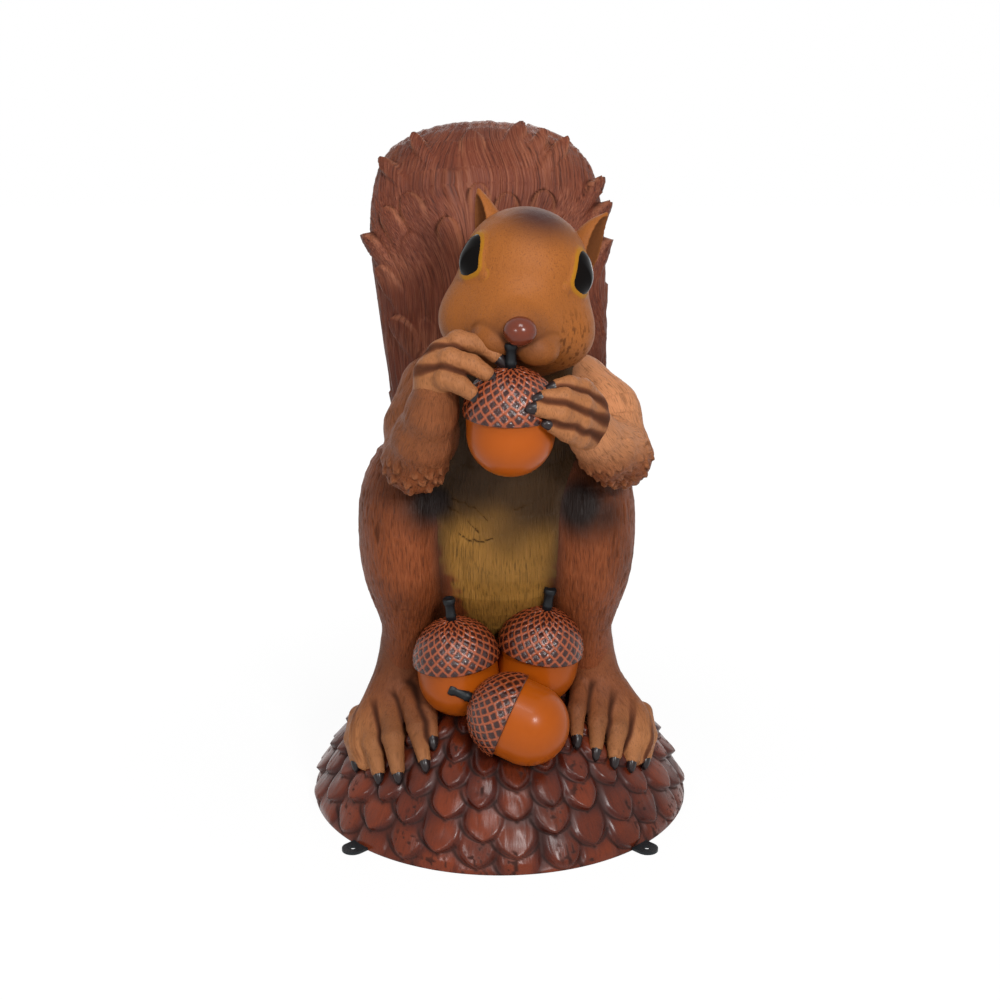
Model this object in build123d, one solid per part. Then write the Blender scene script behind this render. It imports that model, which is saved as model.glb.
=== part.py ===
from build123d import *
import os
from bisect import bisect_right
from math import cos, hypot, pi, radians, sin

# Squirrel statue on a pinecone mound, holding one acorn and standing over three more.
# Millimetres. X is to the viewer's right, the squirrel faces -Y, +Z is up, and the
# origin is the centre of the underside.

# Driving sizes of the whole figure
figure_height = 1250.0
shell_wall = 6.0
bond_line = 0.4

# Mound
base_radius = 356.0
dome_height = 250.0
dome_roundness = 2.6
dome_fullness = 0.79
profile_step_count = 240
skin_step_count = 24
hollow_step_count = 8
scale_count = 32
scale_row_count = 8
scale_pitch = 41.5
scale_crest_share = 0.35
scale_relief = 7.0
scale_clearance = 0.5

# Board and steel ground fixings
board_thickness = 18.0
bar_width = 40.0
bar_thickness = 5.0
tab_reach = 37.0
tab_hole_radius = 6.0
bar_angle = 45.0
bar_screw_radius = 3.0
bar_screw_head_radius = 6.0
bar_screw_head_depth = 3.0
bar_screw_tip_gap = 2.0
bar_screw_places_share = [0.35, 0.80]

# Post and what it carries
post_radius = 24.15
post_wall = 3.2
foot_plate_side = 150.0
foot_plate_thickness = 8.0
plate_screw_radius = 5.0
plate_screw_head_radius = 9.0
plate_screw_head_depth = 6.0
plate_screw_tip_gap = 2.0
plate_screw_inset = 18.0
gusset_height = 70.0
gusset_reach = 40.0
gusset_thickness = 6.0
bulkhead_thickness = 12.0
hip_bulkhead_share = 0.36
shoulder_bulkhead_share = 0.60
tail_arm_share = 0.46
tail_arm_radius = 16.85
tail_arm_wall = 3.2
tail_bulkhead_height_share = 0.14
tail_bulkhead_place_share = 0.15

# Acorns, all from one mould
nut_radius = 73.0
nut_length = 120.0
nut_shoulder_share = 0.34
nut_top_share = 0.60
cap_radius = 79.0
cap_height = 66.0
cap_lip = 12.0
stem_length = 40.0
stem_radius = 9.0
stem_flare = 11.5
acorn_sink = 5.0
stud_radius = 6.0
stud_length = 70.0

# Face and claws
eye_radius = 30.0
nose_radius = 20.0
claw_length = 24.0
claw_tip_radius = 1.6
claw_root_share = 0.8

# Stations of each body form, as shares of the figure height, read from the bottom or
# the root outwards: place x, y, z, then half width and half depth of the section.
torso_shares = [
    (0.004, 0.044, 0.160, 0.086, 0.068),
    (0.002, 0.040, 0.240, 0.104, 0.076),
    (0.000, 0.016, 0.320, 0.126, 0.100),
    (0.000, -0.004, 0.400, 0.132, 0.120),
    (0.000, -0.010, 0.480, 0.122, 0.112),
    (0.002, -0.020, 0.560, 0.117, 0.099),
    (0.006, -0.040, 0.632, 0.110, 0.086),
    (0.012, -0.064, 0.680, 0.090, 0.077),
    (0.020, -0.090, 0.724, 0.074, 0.067),
]
tail_shares = [
    (0.000, 0.056, 0.204, 0.050, 0.042),
    (0.000, 0.118, 0.272, 0.088, 0.060),
    (0.000, 0.140, 0.360, 0.122, 0.064),
    (0.000, 0.150, 0.456, 0.148, 0.064),
    (-0.002, 0.154, 0.552, 0.164, 0.062),
    (-0.006, 0.157, 0.656, 0.172, 0.062),
    (-0.014, 0.158, 0.752, 0.178, 0.064),
    (-0.020, 0.165, 0.832, 0.178, 0.067),
    (-0.022, 0.186, 0.892, 0.172, 0.069),
    (-0.022, 0.228, 0.930, 0.152, 0.068),
    (-0.020, 0.272, 0.914, 0.120, 0.056),
    (-0.020, 0.300, 0.868, 0.076, 0.040),
    (-0.020, 0.310, 0.828, 0.032, 0.020),
]
skull_shares = [
    (0.018, -0.090, 0.704, 0.068, 0.064),
    (0.022, -0.112, 0.740, 0.096, 0.088),
    (0.026, -0.122, 0.772, 0.104, 0.100),
    (0.031, -0.126, 0.808, 0.100, 0.100),
    (0.037, -0.122, 0.844, 0.090, 0.090),
    (0.042, -0.112, 0.876, 0.072, 0.072),
    (0.045, -0.104, 0.898, 0.044, 0.044),
    (0.046, -0.102, 0.906, 0.020, 0.020),
]
muzzle_shares = [
    (0.027, -0.150, 0.774, 0.076, 0.064),
    (0.026, -0.204, 0.764, 0.058, 0.046),
    (0.026, -0.240, 0.758, 0.038, 0.030),
    (0.026, -0.258, 0.756, 0.022, 0.018),
]
skull_core_shares = skull_shares[1:-2]

# The legs stand either side of this line. Their own x is measured out from it.
leg_middle_share = -0.005
haunch_shares = [
    (0.135, -0.034, 0.232, 0.030, 0.048),
    (0.131, -0.026, 0.276, 0.040, 0.067),
    (0.130, -0.020, 0.320, 0.056, 0.091),
    (0.131, -0.016, 0.368, 0.067, 0.109),
    (0.133, -0.011, 0.424, 0.070, 0.112),
    (0.133, -0.006, 0.480, 0.066, 0.102),
    (0.127, 0.000, 0.524, 0.050, 0.080),
    (0.115, 0.008, 0.552, 0.024, 0.050),
]
haunch_core_shares = haunch_shares[1:-1]

# The feet spread over the mound. The left is the viewer's left.
foot_shares = {
    "left": [
        (-0.141, -0.034, 0.240, 0.036, 0.036),
        (-0.149, -0.050, 0.196, 0.042, 0.040),
        (-0.157, -0.070, 0.160, 0.053, 0.042),
        (-0.163, -0.094, 0.132, 0.062, 0.035),
        (-0.165, -0.116, 0.112, 0.058, 0.024),
        (-0.165, -0.132, 0.096, 0.044, 0.013),
    ],
    "right": [
        (0.131, -0.034, 0.240, 0.036, 0.036),
        (0.141, -0.050, 0.196, 0.042, 0.040),
        (0.154, -0.068, 0.164, 0.053, 0.042),
        (0.165, -0.088, 0.138, 0.062, 0.035),
        (0.169, -0.108, 0.116, 0.058, 0.024),
        (0.170, -0.124, 0.100, 0.044, 0.013),
    ],
}

# Each toe: root, middle and tip, with a radius for each, as shares of the figure
# height. The last entry of a place is a lift above the mound instead of a height.
toe_shares = {
    "left": [
        [(-0.209, -0.062, 0.026, 0.018), (-0.217, -0.090, 0.022, 0.015), (-0.213, -0.112, 0.010, 0.010)],
        [(-0.186, -0.088, 0.024, 0.019), (-0.185, -0.128, 0.020, 0.016), (-0.177, -0.160, 0.010, 0.011)],
        [(-0.159, -0.096, 0.022, 0.019), (-0.155, -0.142, 0.020, 0.016), (-0.147, -0.178, 0.010, 0.011)],
        [(-0.132, -0.092, 0.022, 0.018), (-0.120, -0.146, 0.018, 0.015), (-0.109, -0.182, 0.009, 0.010)],
        [(-0.116, -0.082, 0.020, 0.016), (-0.105, -0.122, 0.016, 0.013), (-0.098, -0.158, 0.008, 0.009)],
    ],
    "right": [
        [(0.118, -0.078, 0.020, 0.016), (0.112, -0.118, 0.016, 0.013), (0.111, -0.150, 0.008, 0.009)],
        [(0.142, -0.084, 0.022, 0.018), (0.142, -0.124, 0.018, 0.015), (0.139, -0.154, 0.009, 0.010)],
        [(0.168, -0.082, 0.022, 0.019), (0.170, -0.120, 0.020, 0.016), (0.166, -0.148, 0.010, 0.011)],
        [(0.192, -0.072, 0.024, 0.019), (0.197, -0.104, 0.020, 0.016), (0.193, -0.132, 0.010, 0.011)],
        [(0.212, -0.050, 0.026, 0.018), (0.219, -0.080, 0.022, 0.015), (0.215, -0.106, 0.010, 0.010)],
    ],
}

# Arms: place and radius down the upper arm, then from the elbow up the forearm.
arm_shares = {
    "left": [
        [(-0.094, -0.048, 0.640, 0.050), (-0.112, -0.096, 0.596, 0.048), (-0.117, -0.148, 0.562, 0.043)],
        [
            (-0.116, -0.146, 0.566, 0.041),
            (-0.104, -0.184, 0.604, 0.039),
            (-0.090, -0.220, 0.650, 0.033),
            (-0.083, -0.236, 0.680, 0.027),
        ],
    ],
    "right": [
        [(0.110, -0.040, 0.640, 0.050), (0.148, -0.076, 0.612, 0.047), (0.167, -0.120, 0.563, 0.042)],
        [
            (0.166, -0.120, 0.562, 0.041),
            (0.146, -0.160, 0.582, 0.038),
            (0.126, -0.192, 0.610, 0.032),
            (0.116, -0.208, 0.632, 0.027),
        ],
    ],
}
palm_shares = {
    "left": [(-0.084, -0.232, 0.672, 0.026), (-0.085, -0.232, 0.702, 0.026), (-0.076, -0.230, 0.730, 0.018)],
    "right": [(0.118, -0.206, 0.626, 0.026), (0.116, -0.216, 0.652, 0.025), (0.108, -0.226, 0.676, 0.018)],
}
finger_shares = {
    "left": [
        [(-0.080, -0.222, 0.726, 0.013), (-0.054, -0.230, 0.746, 0.012), (-0.022, -0.238, 0.742, 0.010),
         (-0.006, -0.242, 0.730, 0.008)],
        [(-0.086, -0.236, 0.716, 0.013), (-0.064, -0.254, 0.728, 0.012), (-0.036, -0.262, 0.722, 0.010),
         (-0.018, -0.262, 0.710, 0.008)],
        [(-0.088, -0.242, 0.698, 0.013), (-0.070, -0.264, 0.704, 0.012), (-0.052, -0.272, 0.698, 0.010),
         (-0.038, -0.272, 0.688, 0.008)],
    ],
    "right": [
        [(0.120, -0.212, 0.660, 0.013), (0.106, -0.236, 0.684, 0.012), (0.090, -0.250, 0.692, 0.010),
         (0.076, -0.256, 0.692, 0.008)],
        [(0.122, -0.220, 0.646, 0.013), (0.106, -0.254, 0.668, 0.012), (0.082, -0.276, 0.682, 0.010),
         (0.058, -0.284, 0.684, 0.008)],
        [(0.122, -0.222, 0.630, 0.013), (0.104, -0.260, 0.648, 0.012), (0.078, -0.288, 0.664, 0.010),
         (0.050, -0.296, 0.672, 0.008)],
        [(0.118, -0.216, 0.614, 0.013), (0.104, -0.252, 0.622, 0.012), (0.086, -0.276, 0.636, 0.010),
         (0.068, -0.288, 0.648, 0.008)],
    ],
}

# Ears: place, half width and half thickness from the root to the tip.
ear_shares = {
    "left": [
        (-0.014, -0.084, 0.850, 0.038, 0.022),
        (-0.024, -0.076, 0.884, 0.029, 0.016),
        (-0.029, -0.070, 0.910, 0.016, 0.009),
        (-0.031, -0.067, 0.924, 0.004, 0.003),
    ],
    "right": [
        (0.104, -0.084, 0.828, 0.038, 0.022),
        (0.125, -0.076, 0.858, 0.029, 0.016),
        (0.139, -0.070, 0.880, 0.016, 0.009),
        (0.147, -0.067, 0.893, 0.004, 0.003),
    ],
}
eye_shares = {"left": (-0.039, -0.154, 0.840), "right": (0.105, -0.154, 0.817)}
nose_share = (0.026, -0.262, 0.764)

# Acorns: the middle of the cap's rim, and which way the stem points. The three on the
# mound have no height here, because they rest on it.
held_acorn_share = (0.014, -0.244, 0.664)
held_acorn_lean = (0.0, -0.08, 1.0)
standing_acorn_shares = {"left": (-0.064, -0.120), "right": (0.060, -0.098)}
standing_acorn_leans = {"left": (-0.11, -0.05, 1.0), "right": (0.15, -0.08, 1.0)}
front_acorn_share = (0.040, -0.195)
front_acorn_lean = (-0.90, 0.20, 0.36)


def at(place_share):
    """A point of the figure, from shares of its height."""
    return Vector(*place_share) * figure_height


def dome_top(radius):
    """Height of the mound's outer skin at this distance from the middle."""
    inside = max(0.0, 1 - (radius / base_radius) ** dome_roundness)
    return dome_height * inside ** dome_fullness


def on_dome(x_share, y_share, lift_share):
    """A point above the mound's skin."""
    x = x_share * figure_height
    y = y_share * figure_height
    return Vector(x, y, dome_top(hypot(x, y)) + lift_share * figure_height)


def headings(centres):
    """The way that a path runs at each of its points."""
    last = len(centres) - 1
    return [(centres[min(i + 1, last)] - centres[max(i - 1, 0)]).normalized() for i in range(last + 1)]


def section_planes(centres, across):
    """A plane square to the path at each point, with its x axis along the width."""
    planes = []
    for centre, heading in zip(centres, headings(centres)):
        width_way = (across - heading * across.dot(heading)).normalized()
        planes.append(Plane(origin=centre, x_dir=width_way, z_dir=heading))
    return planes


def swell(centres, half_sizes, across=Vector(1, 0, 0)):
    """A smooth limb or body through elliptical sections."""
    faces = []
    for plane, (half_width, half_depth) in zip(section_planes(centres, across), half_sizes):
        faces.append(plane * Ellipse(half_width, half_depth))
    return loft(faces)


def body_form(shares, wall=0.0, across=Vector(1, 0, 0)):
    """A form from rows of x, y, z, half width and half depth, thinner by the wall."""
    centres = [at(row[:3]) for row in shares]
    half_sizes = [(row[3] * figure_height - wall, row[4] * figure_height - wall) for row in shares]
    return swell(centres, half_sizes, across)


def round_form(rows, across=Vector(1, 0, 0)):
    """A round limb from rows of x, y, z and radius."""
    centres = [at(row[:3]) for row in rows]
    radii = [(row[3] * figure_height, row[3] * figure_height) for row in rows]
    return swell(centres, radii, across)


def half_shell(shares, wall, side):
    """Left or right half of a hollow moulding, with its seam along the middle."""
    centres = [at(row[:3]) for row in shares]
    last = len(shares) - 1
    faces = []
    for i, plane in enumerate(section_planes(centres, Vector(1, 0, 0))):
        half_width = shares[i][3] * figure_height
        half_depth = shares[i][4] * figure_height
        closing = wall if 0 < i < last else half_depth - wall / 2
        inner_width = half_width - min(closing, half_width - wall / 2)
        inner_depth = half_depth - closing
        start = -90 if side > 0 else 90
        outer = EllipticalCenterArc((0, 0), half_width, half_depth, start, arc_size=180)
        inner = EllipticalCenterArc((0, 0), inner_width, inner_depth, start, arc_size=180)
        near_seam = Line(outer @ 0, inner @ 0)
        far_seam = Line(inner @ 1, outer @ 1)
        faces.append(plane * make_face([outer, far_seam, inner, near_seam]))
    return loft(faces)


def biggest(shape):
    """The main solid of a cut, without its offcuts."""
    return max(shape.solids(), key=lambda solid: solid.volume)


def together(solids):
    """Several solids in one node."""
    return Compound(children=[biggest(solid) for solid in solids])


def cylinder_between(start, end, radius):
    """A round bar from one point to another."""
    length = (end - start).length
    return Plane(origin=start, z_dir=end - start) * extrude(Circle(radius), length)


def spun(points):
    """A solid of revolution about Z from an outline of (radius, height)."""
    return revolve(Plane.XZ * make_face(Polyline(*points, close=True)), Axis.Z)


def dome_point(turn, radius, height):
    """A point of the mound's profile, from the rim at no turn to the top at a quarter turn."""
    reach = cos(turn)
    rise = (1 - reach ** dome_roundness) ** dome_fullness
    return radius * reach, height * rise


def plain_outline(wall, step_count):
    """The mound's smooth outline, this far inside its crests."""
    step = pi / 2 / step_count
    radius = base_radius - wall
    height = dome_height - wall
    side = [dome_point(row * step, radius, height) for row in range(step_count)]
    return [(0.0, 0.0)] + side + [(0.0, height)]


def measured_profile():
    """Close-set points of the mound's profile from the rim up, and the length up to each."""
    turns = [pi / 2 * i / profile_step_count for i in range(profile_step_count + 1)]
    points = [dome_point(turn, base_radius, dome_height) for turn in turns]
    lengths = [0.0]
    for start, end in zip(points, points[1:]):
        lengths.append(lengths[-1] + hypot(end[0] - start[0], end[1] - start[1]))
    return points, lengths


def profile_point(length, inset):
    """The point of the profile this far up from the rim, drawn in square to it."""
    i = bisect_right(profile_lengths, length) - 1
    (start_radius, start_height), (end_radius, end_height) = profile_points[i:i + 2]
    step = profile_lengths[i + 1] - profile_lengths[i]
    share = (length - profile_lengths[i]) / step
    inward = end_radius - start_radius
    rise = end_height - start_height
    return (
        start_radius + inward * share - inset * rise / step,
        start_height + rise * share + inset * inward / step,
    )


def on_ring(point, place):
    """A profile point turned to a place in a row of scales."""
    angle = 2 * pi * place / scale_count
    return Vector(point[0] * cos(angle), point[0] * sin(angle), point[1])


def scale_corner(row, index):
    """Where four scales meet, down in the mound's relief."""
    point = profile_point(row * scale_pitch, scale_relief) if row else (base_radius - scale_relief, 0.0)
    return on_ring(point, index % scale_count + row % 2 / 2)


def scale_crest(row, index):
    """The raised place of one scale, towards its lower tip."""
    length = (row - scale_crest_share) * scale_pitch
    point = profile_point(length, scale_clearance) if row else (base_radius, 0.0)
    return on_ring(point, index + row % 2 / 2 + 0.5)


def facet(*corners):
    """A flat face through its corners."""
    return Face(Wire.make_polygon(corners, close=True))


def scaled_mound():
    """The filled mound, its skin cast as staggered rows of pinecone scales, four facets each."""
    facets = []
    rim = []
    for row in range(scale_row_count + 1):
        for index in range(scale_count):
            left = scale_corner(row, index)
            right = scale_corner(row, index + 1)
            crest = scale_crest(row, index)
            beside = index + row % 2
            if row < scale_row_count:
                above = scale_corner(row + 1, beside)
                facets.append(facet(left, crest, above))
                facets.append(facet(crest, right, above))
            if row == 0:
                rim.extend([left, crest])
                continue
            below = scale_corner(row - 1, beside)
            if row == scale_row_count:
                facets.append(facet(left, below, right))
            else:
                facets.append(facet(left, below, crest))
                facets.append(facet(below, right, crest))
    facets.append(facet(*rim))
    facets.append(facet(*[scale_corner(scale_row_count, index) for index in range(scale_count)]))
    return Solid(Shell(facets))


def make_dome():
    """The smooth form that what stands on the mound is cut to, and the mound's hollow."""
    hollow_depth = shell_wall + scale_relief
    return spun(plain_outline(0.0, skin_step_count)), spun(plain_outline(hollow_depth, hollow_step_count))


def make_bars():
    """Two crossing flat bars with rounded, drilled ends: one long, one in two halves."""
    reach = base_radius + tab_reach
    hole_place = reach - bar_width / 2
    flat = SlotOverall(2 * reach, bar_width)
    holes = [Pos(end * hole_place, 0) * Circle(tab_hole_radius) for end in (-1, 1)]
    bar = extrude(flat - holes, bar_thickness)
    long_bar = Rot(0, 0, bar_angle) * bar
    crossing = Rot(0, 0, bar_angle + 90) * bar - long_bar
    return long_bar, crossing


def bar_screw_places():
    """Where the countersunk screws hold the bars to the board."""
    places = []
    for quarter in range(4):
        angle = radians(bar_angle + 90 * quarter)
        for share in bar_screw_places_share:
            places.append((share * base_radius * cos(angle), share * base_radius * sin(angle)))
    return places


def countersunk_screw(place):
    """A wood screw driven up from below, its head flush."""
    head = Cone(bar_screw_head_radius, bar_screw_radius, bar_screw_head_depth,
                align=(Align.CENTER, Align.CENTER, Align.MIN))
    length = board_thickness - bar_screw_tip_gap
    shank = Cylinder(bar_screw_radius, length, align=(Align.CENTER, Align.CENTER, Align.MIN))
    return Pos(place[0], place[1], 0) * (head + shank)


def plate_screw_places():
    """The corners of the foot plate, drawn in."""
    reach = foot_plate_side / 2 - plate_screw_inset
    return [(x * reach, y * reach) for x in (-1, 1) for y in (-1, 1)]


def coach_screw(place, seat):
    """A hexagon-headed screw driven down through the foot plate."""
    length = seat - bar_thickness - plate_screw_tip_gap
    shank = Cylinder(plate_screw_radius, length, align=(Align.CENTER, Align.CENTER, Align.MAX))
    head = extrude(RegularPolygon(plate_screw_head_radius, 6), plate_screw_head_depth)
    return Pos(place[0], place[1], seat) * (shank + head)


def make_gussets(seat):
    """Four triangular webs between the foot plate and the post."""
    outline = [(post_radius, seat), (post_radius + gusset_reach, seat), (post_radius, seat + gusset_height)]
    web = extrude(Plane.XZ * make_face(Polyline(*outline, close=True)), gusset_thickness / 2, both=True)
    post = cylinder_between(Vector(0, 0, seat), Vector(0, 0, seat + 2 * gusset_height), post_radius)
    return [Rot(0, 0, 90 * turn) * web - post for turn in range(4)]


def make_acorn():
    """One acorn about its own axis: nut below the rim, cap and stem above it."""
    belly_height = nut_radius - nut_length
    shoulder = (nut_radius * nut_top_share, nut_length * nut_shoulder_share)
    nut_end = CenterArc((0, belly_height), nut_radius, -90, 90)
    waist = Line((nut_radius, belly_height), (nut_radius, 0))
    slope = Line((nut_radius, 0), shoulder)
    nut_top = Line(shoulder, (0, shoulder[1]))
    nut_axis = Line((0, shoulder[1]), (0, -nut_length))
    nut = revolve(Plane.XZ * make_face([nut_end, waist, slope, nut_top, nut_axis]), Axis.Z)
    cap_centre = (cap_height ** 2 - cap_radius ** 2) / (2 * cap_height)
    cap_ball = Pos(0, 0, cap_centre) * Sphere(cap_height - cap_centre)
    cap_form = cap_ball & Pos(0, 0, -cap_lip) * Cylinder(
        2 * cap_radius, cap_lip + 2 * cap_height, align=(Align.CENTER, Align.CENTER, Align.MIN))
    peg = Cone(stem_radius, stem_flare, cap_lip + stem_length, align=(Align.CENTER, Align.CENTER, Align.MIN))
    stem = Pos(0, 0, cap_height - cap_lip) * peg - cap_form
    return {"nut": nut, "cap": biggest(cap_form - nut), "stem": biggest(stem), "form": cap_form}


def placed(acorn, rim, lean):
    """The acorn with its rim's middle and its stem's heading given."""
    heading = Vector(*lean).normalized()
    across = Vector(1, 0, 0) if abs(heading.X) < abs(heading.Z) else Vector(0, 0, -1)
    plane = Plane(origin=rim, x_dir=across - heading * across.dot(heading), z_dir=heading)
    return {name: plane * piece for name, piece in acorn.items()}


def claw(tip, heading, radius):
    """A short claw that stands on the flat end of a fingertip or toe tip."""
    spike = Cone(radius * claw_root_share, claw_tip_radius, claw_length, align=(Align.CENTER, Align.CENTER, Align.MIN))
    return Plane(origin=tip, z_dir=heading) * spike


def digits(rows, place):
    """Digit forms and their claws, from rows of places and radii."""
    fingers = []
    claws = []
    for row in rows:
        centres = [place(*point[:3]) for point in row]
        radii = [point[3] * figure_height for point in row]
        fingers.append(swell(centres, [(r, r) for r in radii]))
        claws.append(claw(centres[-1], headings(centres)[-1], radii[-1]))
    return fingers, claws


def figure_point(x_share, y_share, z_share):
    """A point of the figure, from three shares."""
    return at((x_share, y_share, z_share))


nodes = {}

# Mound, board and fixings
profile_points, profile_lengths = measured_profile()
dome, dome_core = make_dome()
long_bar, crossing_bar = make_bars()
bars = long_bar + crossing_bar
board_slab = extrude(Circle(base_radius), board_thickness)
screw_solids = [countersunk_screw(place) for place in bar_screw_places()]
plate_seat = board_thickness + foot_plate_thickness
coach_solids = [coach_screw(place, plate_seat) for place in plate_screw_places()]
post_top = shoulder_bulkhead_share * figure_height
post_bore = cylinder_between(Vector(0, 0, plate_seat), Vector(0, 0, post_top), post_radius)
post_hollow = cylinder_between(Vector(0, 0, plate_seat), Vector(0, 0, post_top), post_radius - post_wall)

acorn = make_acorn()


def standing_acorn(side):
    """An acorn that stands on the mound with its tip let into it."""
    x, y = (share * figure_height for share in standing_acorn_shares[side])
    rim = Vector(x, y, dome_top(hypot(x, y)) + nut_length - acorn_sink)
    return placed(acorn, rim, standing_acorn_leans[side])


def lying_acorn():
    """The front acorn, lying on the mound on the fattest part of its nut."""
    x, y = (share * figure_height for share in front_acorn_share)
    belly = Vector(x, y, dome_top(hypot(x, y)) + nut_radius - acorn_sink)
    heading = Vector(*front_acorn_lean).normalized()
    return placed(acorn, belly + heading * (nut_length - nut_radius), front_acorn_lean)


acorns = {
    "held": placed(acorn, at(held_acorn_share), held_acorn_lean),
    "left": standing_acorn("left"),
    "right": standing_acorn("right"),
    "front": lying_acorn(),
}
acorn_forms = {name: [pieces["nut"], pieces.pop("form"), pieces["stem"]] for name, pieces in acorns.items()}


def stud(name):
    """A threaded rod that pins a resting acorn to the mound."""
    foot = acorns[name]["nut"].center()
    top = Vector(foot.X, foot.Y, dome_top(hypot(foot.X, foot.Y)) + stud_length / 2)
    return cylinder_between(top - Vector(0, 0, stud_length), top, stud_radius)


studs = {name: stud(name) for name in ("left", "right", "front")}

dome_shell = scaled_mound() - dome_core - post_bore - bars - list(studs.values())
nodes["base_dome"] = biggest(dome_shell)
nodes["base_board"] = biggest((board_slab & dome_core) - bars - screw_solids - coach_solids)
nodes["fixing_bar_long"] = biggest(long_bar - screw_solids)
halves = sorted((crossing_bar - screw_solids).solids(), key=lambda solid: solid.center().X)
nodes["fixing_bar_short_left"] = halves[0]
nodes["fixing_bar_short_right"] = halves[-1]
nodes["bar_screws"] = together(screw_solids)
plate = Pos(0, 0, board_thickness) * extrude(Rectangle(foot_plate_side, foot_plate_side), foot_plate_thickness)
nodes["post_foot_plate"] = biggest(plate - coach_solids)
nodes["plate_screws"] = together(coach_solids)
nodes["post_gussets"] = together(make_gussets(plate_seat))
nodes["acorn_studs"] = together(list(studs.values()))

# Body and what is inside it
torso_skin = body_form(torso_shares)
torso = torso_skin - dome
torso_core = body_form(torso_shares, shell_wall + bond_line)
torso_hollow = body_form(torso_shares, shell_wall)
tail_core = body_form(tail_shares[1:-2], shell_wall + 2 * bond_line)

arm_height = tail_arm_share * figure_height
tail_plate_y = tail_bulkhead_place_share * figure_height
arm_start = Vector(0, 0, arm_height)
arm_end = Vector(0, tail_plate_y, arm_height)
tail_arm_bore = cylinder_between(arm_start, arm_end, tail_arm_radius)
tail_arm_hollow = cylinder_between(arm_start, arm_end, tail_arm_radius - tail_arm_wall)
nodes["spine_post"] = biggest(post_bore - post_hollow)
nodes["tail_arm"] = biggest(tail_arm_bore - tail_arm_hollow - post_bore)


def bulkhead(height_share):
    """A plywood disc that fits the torso's hollow and carries the shell on the post."""
    height = height_share * figure_height - bulkhead_thickness
    slab = Pos(0, 0, height) * extrude(Rectangle(figure_height, figure_height), bulkhead_thickness)
    return biggest((slab & torso_core) - post_bore)


nodes["bulkhead_hip"] = bulkhead(hip_bulkhead_share)
nodes["bulkhead_shoulder"] = bulkhead(shoulder_bulkhead_share)
tail_plate_size = tail_bulkhead_height_share * figure_height
tail_slab = extrude(Rectangle(figure_height, tail_plate_size), bulkhead_thickness)
nodes["tail_bulkhead"] = biggest((Pos(arm_end) * Rot(-90, 0, 0) * tail_slab) & tail_core)

torso_shell = torso_skin - torso_hollow - dome - tail_arm_bore
seam = Plane(origin=at((0, -0.006, 0.40)), x_dir=(1, 0, 0), z_dir=(0, 1, 0.16))
behind_seam = seam * extrude(Rectangle(2 * figure_height, 2 * figure_height), figure_height)
nodes["torso_back"] = biggest(torso_shell & behind_seam)
nodes["torso_front"] = biggest(torso_shell - behind_seam)

for name, side in (("tail_left", -1), ("tail_right", 1)):
    nodes[name] = biggest(half_shell(tail_shares, shell_wall, side) - [torso_skin, dome, tail_arm_bore])

# Head
skull = body_form(skull_shares)
muzzle = body_form(muzzle_shares)
nose = Pos(at(nose_share)) * Sphere(nose_radius)
eyes = {side: Pos(at(share)) * Rot(0, 90, 0) * Sphere(eye_radius) for side, share in eye_shares.items()}
for side, eye in eyes.items():
    nodes["eye_" + side] = biggest(eye)
nodes["nose"] = biggest(nose)
head_hollow = body_form(skull_core_shares, shell_wall)
head = (skull - head_hollow) + muzzle
nodes["head_shell"] = biggest(head - [torso_skin, nose, *eyes.values()])
for side, shares in ear_shares.items():
    nodes["ear_" + side] = biggest(body_form(shares) - skull)

# Legs and feet
legs = {}
foot_forms = {}
for side, sign in (("left", -1), ("right", 1)):
    outward = [(leg_middle_share + sign * row[0], *row[1:]) for row in haunch_shares]
    core_rows = [(leg_middle_share + sign * row[0], *row[1:]) for row in haunch_core_shares]
    haunch = body_form(outward)
    legs[side] = haunch
    nodes["haunch_" + side] = biggest(haunch - body_form(core_rows, shell_wall) - torso_skin)
    toes, toe_claws = digits(toe_shares[side], on_dome)
    foot_forms[side] = [body_form(foot_shares[side]), *toes]
    seated = [form - dome for form in foot_forms[side]]
    foot = seated[0] + seated[1:] - [haunch, torso_skin]
    nodes["foot_" + side] = biggest(foot)
    nodes["foot_claws_" + side] = together([claw_form - [dome, *foot_forms[side]] for claw_form in toe_claws])

# Arms and hands
held = acorn_forms["held"]
for side in ("left", "right"):
    upper_rows, fore_rows = arm_shares[side]
    elbow_row = upper_rows[-1]
    elbow = Pos(at(elbow_row[:3])) * Sphere(elbow_row[3] * figure_height)
    arm = round_form(upper_rows, Vector(0, 0, 1)) + elbow + round_form(fore_rows, Vector(0, 1, 0))
    arm = arm - [torso_skin, legs[side]]
    nodes["arm_" + side] = biggest(arm)
    fingers, finger_claws = digits(finger_shares[side], figure_point)
    hand = round_form(palm_shares[side], Vector(0, 1, 0)) + fingers - [arm, *held, muzzle]
    nodes["hand_" + side] = biggest(hand)
    nodes["hand_claws_" + side] = together([claw_form - [*held, *fingers] for claw_form in finger_claws])

# Acorns, cut where they are bonded to what they touch
others = {"held": [], "front": [], "left": ["front"], "right": ["front", "left"]}
for name, pieces in acorns.items():
    cutters = [torso_skin, muzzle, nose] if name == "held" else [dome, torso_skin, studs[name]]
    if name in legs:
        cutters.extend([legs[name], *foot_forms[name]])
    for other in others[name]:
        cutters.extend(acorn_forms[other])
    for kind, piece in pieces.items():
        nodes["acorn_" + name + "_" + kind] = biggest(piece - cutters)

os.makedirs("parts", exist_ok=True)
for name, shape in nodes.items():
    export_step(shape, f"parts/{name}.step")
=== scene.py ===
from math import cos, hypot, pi, radians, sin

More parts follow.
